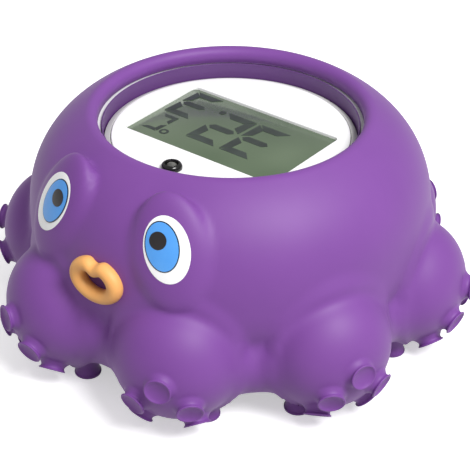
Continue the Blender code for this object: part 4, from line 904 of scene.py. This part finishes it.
def display():
    """The glass under the window and the dark strokes it shows."""
    bm = bmesh.new()
    bmesh.ops.create_cube(bm, size=1.0)
    glass_top = GLASS_LOW.z + GLASS_THICKNESS
    size = (GLASS_HIGH.x - GLASS_LOW.x, GLASS_HIGH.y - GLASS_LOW.y, GLASS_THICKNESS)
    middle = Matrix.Translation((0, 0, GLASS_LOW.z + GLASS_THICKNESS / 2))
    bmesh.ops.transform(bm, matrix=middle @ Matrix.Diagonal((*size, 1.0)), verts=bm.verts)
    bmesh.ops.bevel(bm, geom=bm.edges[:], offset=0.2 * MM, offset_type="OFFSET", segments=2, profile=0.5,
                    affect="EDGES", material=-1)
    finished(bm, "display_panel", display_glass(), ["lcd_cell"], 30)

    ink, tree, shader = surface("liquid_crystal_dark", "#2A3330", 0.3, ior=1.5)
    mottle(tree, shader, "#262E2B", "#333D38", 5.0)
    bm = bmesh.new()
    for sign in SIGNS:
        for shape in digit_strokes(*sign):
            bar(bm, shape, glass_top)
    point = bmesh.ops.create_cone(bm, cap_ends=True, segments=32, radius1=POINT_RADIUS, radius2=POINT_RADIUS,
                                  depth=2 * STROKE_HEIGHT)
    bmesh.ops.translate(bm, verts=point["verts"], vec=(*POINT_PLACE, glass_top))
    inner, outer = DEGREE_RADII
    high = glass_top + STROKE_HEIGHT
    turned_ring(bm, [(inner, glass_top), (outer, glass_top), (outer, high), (inner, high)], DEGREE_PLACE)
    finished(bm, "display_strokes", ink, ["lcd_cell"], 30)


def turned_ring(bm, profile, centre):
    """A small turned ring added to a piece."""
    ring = bmesh.new()
    turned(ring, profile, centre, 48)
    mesh = bpy.data.meshes.new("ring")
    ring.to_mesh(mesh)
    ring.free()
    bm.from_mesh(mesh)
    bpy.data.meshes.remove(mesh)


# Pieces that keep their CAD shape

def carried_over():
    """Materials for the CAD nodes that show as they are."""
    white = moulded_abs("housing_white_abs", "#ECECEC", "#F4F4F4")
    steel = plated_metal("nickel_plated_steel", "#B9B9BB", "#C9C9CB")
    black = moulded_abs("black_moulded_case", "#1A1A1A", "#242424", (0.35, 0.5))
    silicone = moulded_silicone("pressed_silicone", "#A9A9AD", "#B6B6BA")
    grey_wire = moulded_silicone("grey_wire_sleeve", "#B8B8B4", "#C6C6C2")
    looks = {
        "module_housing": white,
        "battery_door": moulded_abs("door_white_abs", "#E4E4E4", "#EDEDED", (0.3, 0.42)),
        "sensor_cap": plated_metal("drawn_stainless", "#B4B4B6", "#C4C4C6", (0.16, 0.3)),
        "lcd_frame": moulded_abs("lcd_carrier", "#CFCFCB", "#D8D8D4", (0.4, 0.5)),
        "zebra_strip_front": moulded_silicone("zebra_strip_rubber", "#D8B4AC", "#E2C0B8"),
        "zebra_strip_back": moulded_silicone("zebra_strip_rubber_back", "#D8B4AC", "#E2C0B8"),
        "circuit_board": board_laminate(),
        "capacitor": moulded_abs("capacitor_sleeve", "#2A3560", "#323E6C", (0.3, 0.4)),
        "sensor_lead_left": grey_wire,
        "sensor_lead_right": grey_wire,
        "battery_lead_red": moulded_silicone("red_wire_sleeve", "#B02418", "#C02C1E"),
        "battery_lead_black": moulded_silicone("black_wire_sleeve", "#1C1C1C", "#262626"),
        "plate_seal": silicone,
        "door_gasket": silicone,
    }
    for node in ("chip_blob", "buzzer", "thermistor"):
        looks[node] = black
    metal = ["crystal", "button_cell", "contact_positive", "contact_negative"]
    metal += ["door_screw_left", "door_screw_right", "water_contact_left", "water_contact_right"]
    metal += [f"board_screw_{n}" for n in range(1, 5)]
    for node in metal:
        looks[node] = steel
    for node, mat in looks.items():
        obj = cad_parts[node]
        obj.data.materials.clear()
        obj.data.materials.append(mat)
        obj.data.shade_smooth()
        obj.data.set_sharp_from_angle(angle=math.radians(30))


# Studio

def floor():
    """A plain pale floor that shows white to the camera and keeps the shadow."""
    bpy.ops.mesh.primitive_plane_add(size=6.0, location=(0, 0, 0))
    obj = bpy.context.object
    obj.name = "studio_floor"
    mat, tree, shader = surface("studio_floor_white", FLOOR_SEEN, 0.9)
    path = add(tree, "ShaderNodeLightPath")
    seen = add(tree, "ShaderNodeMath", {"operation": "MAXIMUM"})
    tree.links.new(path.outputs["Is Camera Ray"], seen.inputs[0])
    tree.links.new(path.outputs["Is Glossy Ray"], seen.inputs[1])
    # the floor looks white, and throws back as little light as the photograph's does
    tone = add(tree, "ShaderNodeMix", {"data_type": "RGBA"})
    tree.links.new(seen.outputs[0], tone.inputs["Factor"])
    tone.inputs[6].default_value = linear(FLOOR_THROWN)
    tone.inputs[7].default_value = linear(FLOOR_SEEN)
    tree.links.new(tone.outputs[2], shader.inputs["Base Color"])
    glow = add(tree, "ShaderNodeEmission", {"Color": (1, 1, 1, 1)})
    share = add(tree, "ShaderNodeMath", {"operation": "MULTIPLY"})
    tree.links.new(seen.outputs[0], share.inputs[0])
    share.inputs[1].default_value = FLOOR_GLOW
    tree.links.new(share.outputs[0], glow.inputs["Strength"])
    both = add(tree, "ShaderNodeAddShader")
    tree.links.new(shader.outputs["BSDF"], both.inputs[0])
    tree.links.new(glow.outputs["Emission"], both.inputs[1])
    out = next(n for n in tree.nodes if n.type == "OUTPUT_MATERIAL")
    tree.links.new(both.outputs[0], out.inputs["Surface"])
    obj.data.materials.append(mat)


def key_lamp():
    """A soft box high on the camera's right."""
    light = bpy.data.lights.new("key", "AREA")
    light.shape = "SQUARE"
    light.size = KEY_SIZE
    light.energy = KEY_POWER
    obj = bpy.data.objects.new("key", light)
    obj.location = KEY_PLACE
    obj.rotation_euler = (Vector(KEY_AIM) - Vector(KEY_PLACE)).to_track_quat("-Z", "Y").to_euler()
    bpy.context.scene.collection.objects.link(obj)


def studio():
    """Floor and key lamp, with a pale world for fill that looks white behind the floor's edge."""
    floor()
    world = bpy.data.worlds.new("studio")
    world.use_nodes = True
    bpy.context.scene.world = world
    back = world.node_tree.nodes["Background"]
    back.inputs["Color"].default_value = (1, 1, 1, 1)
    rays = add(world.node_tree, "ShaderNodeLightPath")
    level = add(world.node_tree, "ShaderNodeMix", {"data_type": "FLOAT"})
    level.inputs[2].default_value = WORLD_FILL
    level.inputs[3].default_value = 1.0
    world.node_tree.links.new(rays.outputs["Is Camera Ray"], level.inputs[0])
    world.node_tree.links.new(level.outputs[0], back.inputs["Strength"])
    key_lamp()
    bpy.context.scene.view_settings.view_transform = "Standard"


def camera():
    """The photograph's viewpoint."""
    data = bpy.data.cameras.new("camera")
    data.sensor_width = SENSOR_WIDTH
    data.lens = SENSOR_WIDTH * FOCAL_PIXELS / PHOTO_PIXELS
    data.clip_start = 0.01
    obj = bpy.data.objects.new("camera", data)
    bpy.context.scene.collection.objects.link(obj)
    level = Matrix.Rotation(CAMERA_AZIMUTH, 4, "Z")
    tilt = Matrix.Rotation(math.pi / 2 - CAMERA_PITCH, 4, "X")
    roll = Matrix.Rotation(-CAMERA_ROLL, 4, "Z")
    obj.matrix_world = Matrix.Translation(CAMERA_PLACE) @ level @ tilt @ roll
    bpy.context.scene.camera = obj


def main():
    rubber = soft_vinyl("purple_matt_vinyl", "#754192", "#7A4597")
    octopus_skin(rubber)
    suction_cups(rubber)
    eyes()
    lips(soft_vinyl("orange_soft_vinyl", "#F0AC60", "#F4B46C", 0.5))
    face_plate(moulded_abs("plate_white_abs", "#FCFCFC", "#FFFFFF", (0.16, 0.26)))
    bezel = moulded_abs("bezel_grey_abs", "#C9C9C6", "#D2D2CF", (0.25, 0.35))
    # the trim ring's purple is darker than the rubber's: painted shade of the recess it sits in
    module_rings(bezel, moulded_abs("trim_purple_abs", "#58326F", "#5D3675", (0.4, 0.5)))
    lamp()
    display()
    carried_over()
    studio()
    camera()


main()
